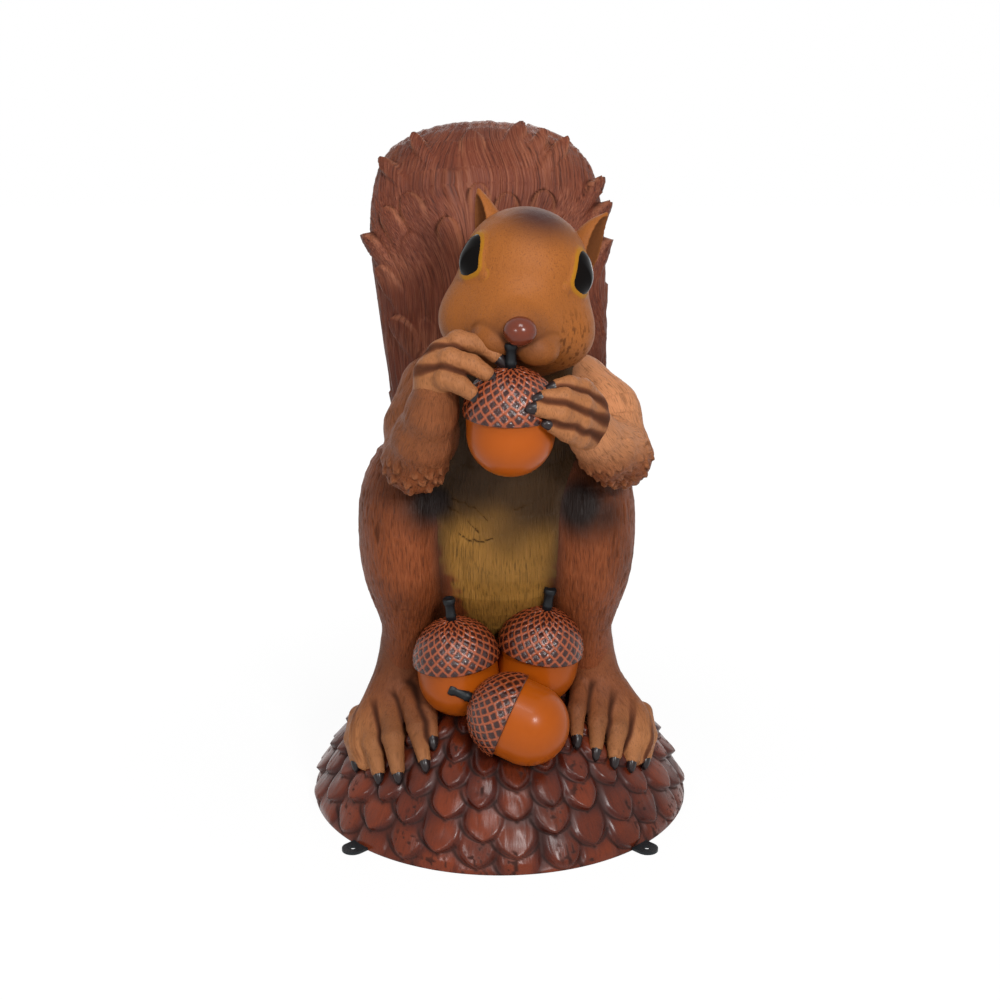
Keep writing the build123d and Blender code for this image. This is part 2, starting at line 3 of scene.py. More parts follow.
import bpy
import numpy as np
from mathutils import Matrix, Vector


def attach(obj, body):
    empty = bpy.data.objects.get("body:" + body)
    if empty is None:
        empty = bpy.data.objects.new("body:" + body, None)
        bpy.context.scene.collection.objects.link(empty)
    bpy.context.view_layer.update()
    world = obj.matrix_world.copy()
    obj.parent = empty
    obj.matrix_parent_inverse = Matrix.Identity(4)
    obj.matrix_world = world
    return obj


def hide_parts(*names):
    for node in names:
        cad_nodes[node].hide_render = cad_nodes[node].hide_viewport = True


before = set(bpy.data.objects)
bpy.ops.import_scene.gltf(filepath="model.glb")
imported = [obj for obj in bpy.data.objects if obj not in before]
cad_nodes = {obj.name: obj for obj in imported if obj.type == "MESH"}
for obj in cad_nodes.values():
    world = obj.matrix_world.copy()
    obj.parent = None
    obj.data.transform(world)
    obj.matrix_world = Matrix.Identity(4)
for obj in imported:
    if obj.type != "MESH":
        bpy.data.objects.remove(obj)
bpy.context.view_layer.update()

# Every length in this file is in millimetres until a mesh is made in metres.
metres = 0.001
detail = 1.0
sides = {"left": -1, "right": 1}


def put(name, data):
    """A new object in the scene."""
    made = bpy.data.objects.new(name, data)
    bpy.context.scene.collection.objects.link(made)
    return made


# Camera, in metres, radians and film millimetres, fitted to the rim of the mound and the top of the tail in
# the photograph
camera_distance = 3.0
camera_height = 1.483
camera_pitch = 0.29345
sensor_width = 36.0
lens_length = 61.12

camera_data = bpy.data.cameras.new("camera")
camera_data.sensor_width = sensor_width
camera_data.lens = lens_length
camera = put("camera", camera_data)
camera.location = (0.0, -camera_distance, camera_height)
camera.rotation_euler = (pi / 2 - camera_pitch, 0.0, 0.0)
bpy.context.scene.camera = camera
bpy.context.scene.view_settings.view_transform = "Standard"


# Body forms. Rows run from the root outwards: x, y, z, half width, half depth.
torso_rows = [
    (5, 55, 200, 108, 85),
    (2, 50, 300, 130, 95),
    (0, 20, 400, 158, 126),
    (0, -5, 500, 166, 151),
    (0, -12, 600, 152, 140),
    (2, -25, 700, 146, 124),
    (8, -50, 790, 138, 108),
    (15, -80, 850, 112, 96),
    (25, -112, 905, 92, 84),
]
tail_rows = [
    (0, 70, 255, 62, 52),
    (0, 147, 340, 110, 75),
    (0, 175, 450, 152, 80),
    (0, 187, 570, 185, 80),
    (-2, 192, 690, 203, 78),
    (-8, 196, 820, 213, 78),
    (-17, 198, 940, 219, 80),
    (-25, 206, 1040, 220, 84),
    (-28, 232, 1115, 213, 86),
    (-28, 285, 1158, 190, 83),
    (-25, 340, 1140, 150, 70),
    (-25, 375, 1085, 95, 50),
    (-25, 388, 1035, 40, 25),
]
haunch_rows = [
    (169, -42, 290, 37, 60),
    (164, -32, 345, 50, 84),
    (162, -25, 400, 70, 112),
    (164, -20, 460, 84, 135),
    (166, -14, 530, 88, 138),
    (166, -8, 600, 82, 126),
    (159, 0, 655, 62, 98),
    (144, 10, 690, 30, 60),
]
leg_middle = -6
foot_rows = {
    "left": [
        (-176, -42, 300, 45, 45),
        (-186, -62, 245, 52, 50),
        (-196, -88, 200, 64, 50),
        (-204, -118, 165, 76, 42),
        (-206, -145, 140, 72, 30),
        (-206, -165, 120, 55, 16),
    ],
    "right": [
        (164, -42, 300, 45, 45),
        (176, -62, 245, 52, 50),
        (192, -85, 205, 64, 50),
        (206, -110, 172, 76, 42),
        (211, -135, 145, 72, 30),
        (212, -155, 125, 55, 16),
    ],
}
# Toes: x, y, height above the mound, radius at the root, the middle and the tip.
toe_rows = {
    "left": [
        [(-261, -78, 32, 22), (-271, -112, 27, 18), (-266, -140, 12, 12)],
        [(-232, -110, 30, 23), (-231, -160, 25, 20), (-221, -200, 12, 13)],
        [(-199, -120, 27, 23), (-194, -177, 25, 20), (-184, -222, 12, 13)],
        [(-165, -115, 27, 22), (-150, -182, 22, 18), (-136, -228, 11, 12)],
        [(-145, -102, 25, 20), (-131, -152, 20, 16), (-122, -198, 10, 11)],
    ],
    "right": [
        [(148, -98, 25, 20), (140, -148, 20, 16), (139, -188, 10, 11)],
        [(178, -105, 27, 22), (178, -155, 22, 18), (174, -192, 11, 12)],
        [(210, -102, 27, 23), (212, -150, 25, 20), (208, -185, 12, 13)],
        [(240, -90, 30, 23), (246, -130, 25, 20), (241, -165, 12, 13)],
        [(265, -62, 32, 22), (274, -100, 27, 18), (269, -132, 12, 12)],
    ],
}
# Arms and hands: x, y, z, radius.
arm_rows = {
    "left": [
        [(-118, -60, 800, 62), (-140, -120, 745, 60), (-146, -185, 702, 54)],
        [(-145, -182, 708, 51), (-130, -230, 755, 49), (-112, -275, 812, 41), (-104, -295, 850, 34)],
    ],
    "right": [
        [(138, -50, 800, 62), (185, -95, 765, 59), (209, -150, 704, 53)],
        [(208, -150, 702, 51), (182, -200, 728, 48), (158, -240, 762, 40), (145, -260, 790, 34)],
    ],
}
palm_rows = {
    "left": [(-105, -290, 840, 33), (-106, -290, 878, 33), (-95, -287, 912, 23)],
    "right": [(148, -258, 782, 33), (145, -270, 815, 31), (135, -282, 845, 23)],
}
finger_rows = {
    "left": [
        [(-100, -278, 908, 19), (-68, -288, 933, 18), (-28, -298, 928, 15.5), (-8, -303, 913, 13)],
        [(-108, -295, 895, 19), (-80, -318, 910, 18), (-45, -328, 903, 15.5), (-22, -328, 888, 13)],
        [(-110, -303, 873, 19), (-88, -330, 880, 18), (-65, -340, 873, 15.5), (-48, -340, 860, 13)],
    ],
    "right": [
        [(150, -265, 825, 19), (133, -295, 855, 17.5), (113, -313, 865, 15.5), (95, -320, 865, 13)],
        [(153, -275, 808, 19), (133, -318, 835, 17.5), (103, -345, 853, 15.5), (73, -355, 855, 13)],
        [(153, -278, 788, 19), (130, -325, 810, 17.5), (98, -360, 830, 15.5), (63, -370, 840, 13)],
        [(148, -270, 768, 19), (130, -315, 778, 17.5), (108, -345, 795, 15.5), (85, -360, 810, 13)],
    ],
}
# Head
head_place = (37, -155, 996)
head_roll = radians(9)
# Ovals of the head in its own frame: right, forward and up of the middle, then half sizes, then fillet.
head_ovals = [
    ((0, 0, 34), (107, 112, 103), 1),
    ((0, 4, -48), (122, 112, 84), 45),
    ((-66, 34, -62), (60, 58, 54), 40),
    ((66, 34, -62), (60, 58, 54), 40),
    ((-4, 100, -44), (62, 66, 46), 50),
    ((-2, 140, -32), (30, 34, 24), 22),
]
# The two pads of the muzzle, in the same frame
muzzle_pads = [((-33, 127, -66), (37, 38, 30)), ((34, 127, -71), (38, 38, 30))]
pad_fillet = 9
# Ears: x, y, z, half width, half depth, and how the hollow lies in them
ear_rows = {
    "left": [
        (-12, -112, 1068, 33, 30),
        (-23, -106, 1104, 27, 24),
        (-31, -97, 1134, 15, 13),
        (-36, -88, 1152, 4, 4),
    ],
    "right": [
        (132, -112, 1030, 33, 32),
        (149, -106, 1062, 31, 28),
        (167, -98, 1092, 20, 17),
        (181, -88, 1112, 4, 4),
    ],
}
ear_hollow_shift = (13, -5, 2)
ear_hollow_share = 0.78
# Eyes, in the head's own frame: the ball's middle, the ways it looks and stands, and its half sizes outwards,
# upwards and towards the nose. The taper draws it to a corner below, and the rim is painted along the skin.
eye_middle = (83, 47, 44)
eye_out = (0.82, 0.55, 0.14)
eye_up = (0, -0.12, 1.0)
eye_half_sizes = (24, 43, 33)
eye_taper = [(1, -4, 3, 29), (4, -21, 36, 7)]
eye_margin = 52
eye_rim = 3.6
eye_rim_fillet = 5.0
rim_paint_ends = (9.5, 7.0)
nose_place = (32, -328, 957)
nose_half_sizes = (27, 24, 24)
# The middle of the dark paint on the crown and round the nose, and of the specks on the jaw, which is in the
# head's own frame
crown_place = (62, -185, 1112)
muzzle_place = (36, -328, 943)
jaw_place = (70, 70, -62)

# Mound
base_radius = 356.0
dome_height = 250.0
dome_roundness = 2.6
dome_fullness = 0.79

# Acorns
nut_radius = 73.0
nut_length = 120.0
cap_radius = 79.0
cap_height = 66.0
cap_lip = 12.0
cap_row_height = 11.0
acorn_sink = 5.0


def dome_top(radius):
    """Height of the mound's skin at this distance from the middle."""
    inside = np.maximum(0.0, 1 - (np.asarray(radius, float) / base_radius) ** dome_roundness)
    return dome_height * inside ** dome_fullness


def standing(x, y):
    """Where the rim's middle of an acorn that stands on the mound is."""
    return (x, y, float(dome_top(hypot(x, y))) + nut_length - acorn_sink)


def lying(x, y, lean):
    """Where the rim's middle of an acorn that lies on the mound is."""
    heading = np.array(lean, float) / np.linalg.norm(lean)
    belly = np.array([x, y, float(dome_top(hypot(x, y))) + nut_radius - acorn_sink])
    return belly + heading * (nut_length - nut_radius)


front_lean = (-0.90, 0.20, 0.36)
# The middle of each acorn's rim, and the way its stem points
acorn_places = {
    "held": ((17.5, -305, 830), (0.0, -0.08, 1.0)),
    "left": (standing(-80, -150), (-0.11, -0.05, 1.0)),
    "right": (standing(75, -122.5), (0.15, -0.08, 1.0)),
    "front": (lying(50, -243.75, front_lean), front_lean),
}


# Repeatable noise
def cell_value(cells, seed):
    """A repeatable number from 0 to 1 for each whole-numbered cell."""
    mixed = cells.astype(np.int64) @ np.array([374761393, 668265263, 2246822519], np.int64)
    mixed = mixed + seed * 3266489917
    mixed = (mixed ^ (mixed >> 13)) * 1274126177
    mixed = mixed ^ (mixed >> 16)
    return (mixed & 0xFFFFFF) / 0xFFFFFF


def noise(points, seed=0):
    """Smooth noise from 0 to 1 in three dimensions, one cell to the unit."""
    base = np.floor(points)
    part = points - base
    part = part * part * (3 - 2 * part)
    total = np.zeros(len(points))
    for corner in range(8):
        step = np.array([corner & 1, corner >> 1 & 1, corner >> 2 & 1])
        weight = np.prod(np.where(step, part, 1 - part), axis=1)
        total += weight * cell_value(base + step, seed)
    return total


def ridges(points, seed=0):
    """Noise folded into sharp crests, from 0 to 1."""
    return 1 - np.abs(2 * noise(points, seed) - 1)


def ease(low, high, value):
    """0 below low, 1 above high, smooth between."""
    share = np.clip((value - low) / (high - low), 0, 1)
    return share * share * (3 - 2 * share)


# Distance fields
def join(first, second, width):
    """Two forms run together with a fillet about this wide."""
    near = np.maximum(width - np.abs(first - second), 0) / width
    return np.minimum(first, second) - near * near * width / 4


def carve(form, cutter, width):
    """A form with another taken out of it, with a soft edge."""
    return -join(-form, cutter, width)


def oval(points, centre, half_sizes):
    """An ellipsoid."""
    half = np.asarray(half_sizes, float)
    away = points - np.asarray(centre, float)
    first = np.linalg.norm(away / half, axis=1)
    second = np.linalg.norm(away / half ** 2, axis=1) + 1e-9
    return first * (first - 1) / second


def limb(points, rows, width):
    """A chain of round bars whose radius changes along them."""
    total = None
    for start, end in zip(rows, rows[1:]):
        low, high = np.array(start[:3], float), np.array(end[:3], float)
        run = high - low
        share = np.clip((points - low) @ run / (run @ run), 0, 1)
        away = points - low - share[:, None] * run
        piece = np.linalg.norm(away, axis=1) - (start[3] + share * (end[3] - start[3]))
        total = piece if total is None else join(total, piece, width)
    return total


def unit(ways):
    """Directions at length one."""
    return ways / np.maximum(np.linalg.norm(ways, axis=-1, keepdims=True), 1e-9)


def dot(first, second):
    """The product of each vector with its fellow."""
    return np.einsum("ij,ij->i", first, second)


def smooth_rows(rows, times):
    """Rows with points put between them on a smooth curve."""
    rows = np.array(rows, float)
    padded = np.vstack([2 * rows[0] - rows[1], rows, 2 * rows[-1] - rows[-2]])
    made = []
    for i in range(1, len(padded) - 2):
        before, start, end, after = padded[i - 1:i + 3]
        for share in np.arange(times) / times:
            made.append(0.5 * (2 * start + (end - before) * share
                               + (2 * before - 5 * start + 4 * end - after) * share ** 2
                               + (3 * start - before - 3 * end + after) * share ** 3))
    made.append(rows[-1])
    return np.array(made)


class Swell:
    """A form with elliptical sections along a curved line."""

    def __init__(self, rows, across=(1, 0, 0), times=3):
        self.rows = smooth_rows(rows, times)
        self.places = self.rows[:, :3]
        across = np.array(across, float)
        self.runs = np.diff(self.places, axis=0)
        self.lengths = np.linalg.norm(self.runs, axis=1)
        self.reach = np.concatenate([[0], np.cumsum(self.lengths)])
        self.headings = self.runs / self.lengths[:, None]
        self.width_ways = unit(across - self.headings * (self.headings @ across)[:, None])
        self.depth_ways = np.cross(self.headings, self.width_ways)

    def closest(self, points):
        """The number of the place nearest to each point."""
        return np.argmin((self.places ** 2).sum(1) - 2 * points @ self.places.T, axis=1)

    def nearest(self, points):
        """For each point: section coordinates, distance along, and the section's half sizes."""
        closest = self.closest(points)
        best = np.full(len(points), np.inf)
        found = np.zeros((len(points), 6))
        for back in (1, 0):
            i = np.clip(closest - back, 0, len(self.places) - 2)
            away = points - self.places[i]
            share = np.clip(dot(away, self.runs[i]) / self.lengths[i] ** 2, 0, 1)
            away -= share[:, None] * self.runs[i]
            gap = dot(away, away)
            sizes = self.rows[i, 3:5] + share[:, None] * (self.rows[i + 1, 3:5] - self.rows[i, 3:5])
            made = np.column_stack([
                dot(away, self.width_ways[i]),
                dot(away, self.depth_ways[i]),
                dot(away, self.headings[i]),
                self.reach[i] + share * self.lengths[i],
                sizes,
            ])
            closer = gap < best
            found[closer] = made[closer]
            best = np.minimum(best, gap)
        return found

    def field(self, points):
        """Distance from the form's skin, roughly."""
        side, depth, beyond, _, half_width, half_depth = self.nearest(points).T
        tip = np.minimum(half_width, half_depth)
        width, thick, end = side / half_width, depth / half_depth, beyond / tip
        first = np.sqrt(width ** 2 + thick ** 2 + end ** 2)
        second = np.sqrt((width / half_width) ** 2 + (thick / half_depth) ** 2 + (end / tip) ** 2)
        return first * (first - 1) / (second + 1e-9)

    def strand(self, points):
        """Coordinates that run with the fur: two across it, spread with the form, one along it."""
        side, depth, _, along, half_width, half_depth = self.nearest(points).T
        typical = self.rows[:, 3:5].max(axis=0)
        return np.column_stack([side / half_width * typical[0], depth / half_depth * typical[1], along])

    def heading(self, points):
        """The way the fur runs at each point."""
        return self.headings[np.minimum(self.closest(points), len(self.headings) - 1)]


# Meshes. The mesher looks first at blocks of cells, and only near the skin at each cell.
block = 4
block_reach = 1.15
blocks_at_once = 3000


def net(field, low, high, step):
    """The field's zero surface as points and quads, by joining the middles of crossed cells."""
    step = step * detail
    low = np.array(low, float)
    blocks = np.ceil((np.array(high, float) - low) / step / block).astype(int)
    size = blocks * block
    corners = np.stack(np.meshgrid(*[np.arange(n) for n in blocks], indexing="ij"), -1).reshape(-1, 3) * block
    middles = low + (corners + (block - 1) / 2) * step
    rough = field(middles)
    values = np.empty(size, np.float32)
    values[:] = np.repeat(np.repeat(np.repeat(rough.reshape(blocks), block, 0), block, 1), block, 2)
    active = corners[np.abs(rough) < block * step * block_reach]
    offsets = np.stack(np.meshgrid(*[np.arange(block)] * 3, indexing="ij"), -1).reshape(-1, 3)
    for start in range(0, len(active), blocks_at_once):
        cells = (active[start:start + blocks_at_once, None, :] + offsets[None]).reshape(-1, 3)
        values[tuple(cells.T)] = field(low + cells * step)
    stride = np.array([size[1] * size[2], size[2], 1])
    crossings, owners, quads = [], [], []
    for axis in range(3):
        near = [slice(None)] * 3
        far = [slice(None)] * 3
        near[axis] = slice(0, -1)
        far[axis] = slice(1, None)
        places = np.argwhere((values[tuple(near)] < 0) != (values[tuple(far)] < 0))
        upper = places.copy()
        upper[:, axis] += 1
        first = values[tuple(places.T)].astype(float)
        second = values[tuple(upper.T)].astype(float)
        crossing = places.astype(float)
        crossing[:, axis] += first / (first - second)
        one, two = (axis + 1) % 3, (axis + 2) % 3
        ring = []
        for first_step, second_step in ((-1, -1), (0, -1), (0, 0), (-1, 0)):
            cell = places.copy()
            cell[:, one] += first_step
            cell[:, two] += second_step
            ring.append(cell @ stride)
        ring = np.stack(ring, 1)
        ring = np.where((first < 0)[:, None], ring, ring[:, ::-1])
        quads.append(ring)
        owners.append(ring.ravel())
        crossings.append(np.repeat(crossing, 4, axis=0))
    owners = np.concatenate(owners)
    crossings = np.concatenate(crossings)
    _, index = np.unique(owners, return_inverse=True)
    count = np.bincount(index)
    points = np.column_stack([np.bincount(index, crossings[:, i]) / count for i in range(3)])
    points = low + points * step
    slope, value = gradient(field, points, step / 2)
    steepness = np.maximum((slope ** 2).sum(1), 0.2)[:, None]
    points -= np.clip(value[:, None] * slope / steepness, -step, step)
    return points, index.reshape(-1, 4), slope / np.sqrt(steepness)


def gradient(field, points, reach):
    """The field's slope and value at each point, by a short step along each axis."""
    value = field(points)
    slope = np.empty_like(points)
    for axis in range(3):
        moved = points.copy()
        moved[:, axis] += reach
        slope[:, axis] = (field(moved) - value) / reach
    return slope, value


def make_piece(name, points, faces, material, nodes=(), attributes=None):
    """A finished mesh piece from millimetre points, riding on the root body."""
    mesh = bpy.data.meshes.new(name)
    points = np.asarray(points, float) * metres
    faces = np.asarray(faces, np.int32)
    mesh.vertices.add(len(points))
    mesh.vertices.foreach_set("co", points.astype(np.float32).ravel())
    mesh.loops.add(faces.size)
    mesh.loops.foreach_set("vertex_index", faces.ravel())
    mesh.polygons.add(len(faces))
    mesh.polygons.foreach_set("loop_start", np.arange(len(faces), dtype=np.int32) * faces.shape[1])
    mesh.polygons.foreach_set("use_smooth", np.ones(len(faces), bool))
    mesh.update(calc_edges=True)
    for key, values in (attributes or {}).items():
        values = np.asarray(values, np.float32)
        kind = "FLOAT" if values.ndim == 1 else "FLOAT_VECTOR"
        layer = mesh.attributes.new(key, kind, "POINT")
        layer.data.foreach_set("value" if values.ndim == 1 else "vector", values.ravel())
    mesh.validate()
    mesh.materials.append(material)
    piece = put(name, mesh)
    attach(piece, "root")
    if nodes:
        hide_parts(*nodes)


def merged(parts):
    """Several (points, faces) as one."""
    starts = np.cumsum([0] + [len(points) for points, _ in parts])
    faces = [faces + start for (_, faces), start in zip(parts, starts)]
    return np.concatenate([points for points, _ in parts]), np.concatenate(faces)


def rings_of(count, around):
    """Numbers of the points in rings, of their neighbours along the ring, and the quads between the rings."""
    index = np.arange(count * around).reshape(count, around)
    beside = np.roll(index, -1, axis=1)
    return index, beside, np.stack([index[:-1], index[1:], beside[1:], beside[:-1]], -1)


def outside_in(quads):
    """The same quads, seen from their other side."""
    return quads[..., [0, 3, 2, 1]].reshape(-1, 4)


def tube(places, radii, around):
    """A closed round bar along places."""
    count = len(places)
    heads = unit(np.gradient(places, axis=0))
    sideways = np.tile(np.array([1.0, 0, 0]), (count, 1))
    sideways = unit(sideways - heads * dot(sideways, heads)[:, None])
    up = np.cross(heads, sideways)
    angles = np.arange(around) / around * 2 * pi
    rings = []
    for i in range(count):
        level = sideways[i] * (np.cos(angles) * radii[i])[:, None]
        rings.append(places[i] + (level + up[i] * (np.sin(angles) * radii[i])[:, None]))
    points = np.concatenate(rings + [places[:1], places[-1:]])
    index, _, quads = rings_of(count, around)
    root, tip = count * around, count * around + 1
    ends = []
    # Quads two steps wide close the ends round their middle points
    for j in range(0, around, 2):
        k, m = (j + 1) % around, (j + 2) % around
        ends.append((root, m, k, j))
        ends.append((tip, index[-1, j], index[-1, k], index[-1, m]))
    return points, np.concatenate([outside_in(quads), ends])


# Materials. A brushed coat of paint is uneven in clouds this wide. The finest strands are drawn as a bump this
# high, coarser than a brush would leave them, so that they show. The varnish is duller in the grooves.
cloud_width = 111.0
strand_relief = 3.0
groove_dulling = 0.6


def linear(colour):
    """An sRGB hex colour as linear numbers."""
    parts = [int(colour[i:i + 2], 16) / 255 for i in (1, 3, 5)]
    return tuple(v / 12.92 if v <= 0.04045 else ((v + 0.055) / 1.055) ** 2.4 for v in parts) + (1.0,)


def add(tree, kind, settings=None, links=None):
    """Adds one node with its settings and the sockets that feed it."""
    made = tree.nodes.new(kind)
    for name, value in (settings or {}).items():
        if isinstance(name, int) or name in made.inputs:
            made.inputs[name].default_value = value
        else:
            setattr(made, name, value)
    for name, source in (links or {}).items():
        tree.links.new(source, made.inputs[name])
    return made


def new_material(name):
    """An empty material with its shader and output."""
    material = bpy.data.materials.new(name)
    material.use_nodes = True
    tree = material.node_tree
    tree.nodes.clear()
    shader = tree.nodes.new("ShaderNodeBsdfPrincipled")
    output = tree.nodes.new("ShaderNodeOutputMaterial")
    tree.links.new(shader.outputs[0], output.inputs[0])
    return material, tree, shader


def painted_fur(name, main, light, dark, second, strand_width, strand_length, roughness, relief, cloud_share,
                gloss, contrast, rim=None):
    """Carved glass-fibre fur in thin coats with painted highlights and painted shade in the grooves, under
    satin varnish.
    """
    material, tree, shader = new_material(name)
    keys = ("strand", "tone", "groove", "shade")
    strand, tone, groove, shade = [add(tree, "ShaderNodeAttribute", {"attribute_name": k}) for k in keys]
    across, along = 1 / strand_width, 1 / strand_length
    drawn = add(tree, "ShaderNodeVectorMath", {"operation": "MULTIPLY", 1: (across, across, along)},
                {0: strand.outputs["Vector"]})
    grain = {"Scale": 1.0, "Detail": 2.5, "Roughness": 0.55, "Distortion": 0.3}
    fine = add(tree, "ShaderNodeTexNoise", grain, {"Vector": drawn.outputs[0]})
    place = add(tree, "ShaderNodeTexCoord")
    cloud = add(tree, "ShaderNodeTexNoise", {"Scale": 1 / (cloud_width * metres), "Detail": 3.0},
                {"Vector": place.outputs["Object"]})
    # The paint, then painted highlights on the strands, the uneven coats, and painted shade in the grooves and
    # folds
    base = add(tree, "ShaderNodeMix", {"data_type": "RGBA", 6: linear(main), 7: linear(second)},
               {0: tone.outputs["Fac"]})
    lit = add(tree, "ShaderNodeMapRange", {"From Min": 0.5, "From Max": 0.7, "To Max": contrast},
              {"Value": fine.outputs[0]})
    high = add(tree, "ShaderNodeMix", {"data_type": "RGBA", "blend_type": "SCREEN", 7: linear(light)},
               {0: lit.outputs[0], 6: base.outputs[2]})
    cloudy = add(tree, "ShaderNodeMapRange", {"From Min": 0.4, "From Max": 0.75, "To Max": cloud_share},
                 {"Value": cloud.outputs[0]})
    washed = add(tree, "ShaderNodeMix", {"data_type": "RGBA", 7: linear(dark)},
                 {0: cloudy.outputs[0], 6: high.outputs[2]})
    crease = add(tree, "ShaderNodeMapRange", {"From Min": 0.47, "From Max": 0.3, "To Max": contrast},
                 {"Value": fine.outputs[0]})
    deep = add(tree, "ShaderNodeMath", {"operation": "MAXIMUM"},
               {0: crease.outputs[0], 1: groove.outputs["Fac"]})
    deeper = add(tree, "ShaderNodeMath", {"operation": "MAXIMUM"},
                 {0: deep.outputs[0], 1: shade.outputs["Fac"]})
    final = add(tree, "ShaderNodeMix", {"data_type": "RGBA", 7: linear(dark)},
                {0: deeper.outputs[0], 6: washed.outputs[2]})
    if rim:
        rimmed = add(tree, "ShaderNodeAttribute", {"attribute_name": "rim"})
        final = add(tree, "ShaderNodeMix", {"data_type": "RGBA", 7: linear(rim)},
                    {0: rimmed.outputs["Fac"], 6: final.outputs[2]})
    tree.links.new(final.outputs[2], shader.inputs["Base Color"])
    rough = add(tree, "ShaderNodeMapRange", {"To Min": roughness - 0.08, "To Max": roughness + 0.1},
                {"Value": cloud.outputs[0]})
    dull = add(tree, "ShaderNodeMath", {"operation": "MULTIPLY_ADD", 1: groove_dulling},
               {0: groove.outputs["Fac"], 2: rough.outputs[0]})
    tree.links.new(dull.outputs[0], shader.inputs["Roughness"])
    shader.inputs["Specular IOR Level"].default_value = gloss
    bump = add(tree, "ShaderNodeBump", {"Strength": relief, "Distance": strand_relief * metres},
               {"Height": fine.outputs[0]})
    tree.links.new(bump.outputs[0], shader.inputs["Normal"])
    return material


def varnished(name, main, other, roughness, patch, coat=0.0, gloss=0.25):
    """A smooth coated surface, mottled slightly in patches this wide."""
    material, tree, shader = new_material(name)
    place = add(tree, "ShaderNodeTexCoord")
    cloud = add(tree, "ShaderNodeTexNoise", {"Scale": 1 / (patch * metres), "Detail": 5.0},
                {"Vector": place.outputs["Object"]})
    mixed = add(tree, "ShaderNodeMix", {"data_type": "RGBA", 6: linear(main), 7: linear(other)},
                {0: cloud.outputs[0]})
    tree.links.new(mixed.outputs[2], shader.inputs["Base Color"])
    ends = {"To Min": max(roughness - 0.06, 0.02), "To Max": roughness + 0.06}
    rough = add(tree, "ShaderNodeMapRange", ends, {"Value": cloud.outputs[0]})
    tree.links.new(rough.outputs[0], shader.inputs["Roughness"])
    shader.inputs["Coat Weight"].default_value = coat
    shader.inputs["Coat Roughness"].default_value = 0.12
    shader.inputs["Specular IOR Level"].default_value = gloss
    return material


# Tail: thin red-brown coats over strands 2.4 mm wide and 120 mm long, with painted highlights on the strands
# and painted shade between them. The long glints and the dark lines between them make the eye see combed,
# hanging hair.
tail_paint = painted_fur(
    "tail_painted_glass_fibre", main="#703826", light="#6e4632", dark="#280f09", second="#965a40",
    strand_width=2.4, strand_length=120.0, roughness=0.42, relief=1.0, cloud_share=0.35, gloss=0.16,
    contrast=0.7)
# Body and haunches: warm brown over short strands 2.6 by 22 mm, with ochre on the belly and painted shade in
# the folds. The broken glints make it a short, close coat.
body_paint = painted_fur(
    "body_painted_glass_fibre", main="#7e4020", light="#5a3622", dark="#180b06", second="#92672c",
    strand_width=2.6, strand_length=22.0, roughness=0.46, relief=0.9, cloud_share=0.35, gloss=0.16,
    contrast=0.6)
# Arms: the body's brown dry-brushed with tan on strands 2.6 by 26 mm; the extra tan on the right arm is
# painted light.
arm_paint = painted_fur(
    "arm_painted_glass_fibre", main="#7c4222", light="#4a2a18", dark="#24110a", second="#c8865a",
    strand_width=2.6, strand_length=26.0, roughness=0.48, relief=0.9, cloud_share=0.25, gloss=0.14,
    contrast=0.5)
# Head: smooth sprayed ochre with a dark crown and muzzle, specks of 3.5 by 7 mm on the jaw and a grain of 2 to
# 3 mm. The soft, even sheen reads as close, short hair, and the yellow rims draw the eyes out.
head_paint = painted_fur(
    "head_painted_glass_fibre", main="#9a5a27", light="#302010", dark="#46281a", second="#3c1f1c",
    strand_width=2.2, strand_length=3.0, roughness=0.46, relief=0.3, cloud_share=0.12, gloss=0.14,
    contrast=0.4, rim="#a06a16")
# Hands and feet: brown with painted light on the digits and painted shade between them, under a faint grain
# of 2.2 by 9 mm. They look like bare skin beside the fur.
hand_paint = painted_fur(
    "hand_painted_glass_fibre", main="#7c4629", light="#38200f", dark="#20100c", second="#b07448",
    strand_width=2.2, strand_length=9.0, roughness=0.46, relief=0.5, cloud_share=0.4, gloss=0.14,
    contrast=0.4)
# Pinecone: dark red-brown under gloss varnish, lighter orange-brown on the scales' crests, with a grain of 5
# by
# 30 mm. The wet-looking glints along each scale's edge make it look like polished cone wood.
cone_paint = painted_fur(
    "pinecone_painted_glass_fibre", main="#48190f", light="#2c1610", dark="#100604", second="#783218",
    strand_width=5.0, strand_length=30.0, roughness=0.24, relief=0.1, cloud_share=0.4, gloss=0.24,
    contrast=0.3)
# Acorn caps: cast resin painted near black, with copper brushed on its raised net, mottled at 4 to 6 mm and
# gloss varnished, so that the net sparkles.
cap_paint = painted_fur(
    "acorn_cap_painted_resin", main="#35140e", light="#20100c", dark="#140705", second="#a4502c",
    strand_width=4.0, strand_length=6.0, roughness=0.22, relief=0.3, cloud_share=0.2, gloss=0.42,
    contrast=0.4)
# Acorn nuts: smooth cast resin in two near oranges that cloud into each other over 110 mm, under thin varnish.
# A wide soft light on each makes it look like a polished nut.
nut_paint = varnished("acorn_nut_varnished_resin", "#aa500c", "#9c4808", 0.32, patch=111.0, coat=0.1,
                      gloss=0.14)
# Stems: brushed black enamel, uneven over 17 mm and half dull, which makes them plain dark pegs.
stem_paint = varnished("stem_black_enamel", "#14181c", "#0c0e11", 0.42, patch=16.7)
# Claws: brown-black enamel, glossier than the stems and uneven over 20 mm, so that each tip takes a glint.
claw_paint = varnished("claw_black_enamel", "#2a1f1f", "#181213", 0.3, patch=20.0, coat=0.1)
# Eyes: clear resin cast over black and polished, mottled at 50 mm. Its small sharp lights make it look wet.
eye_gloss = varnished("eye_clear_cast_resin", "#040404", "#0c0604", 0.08, patch=50.0, gloss=0.07)
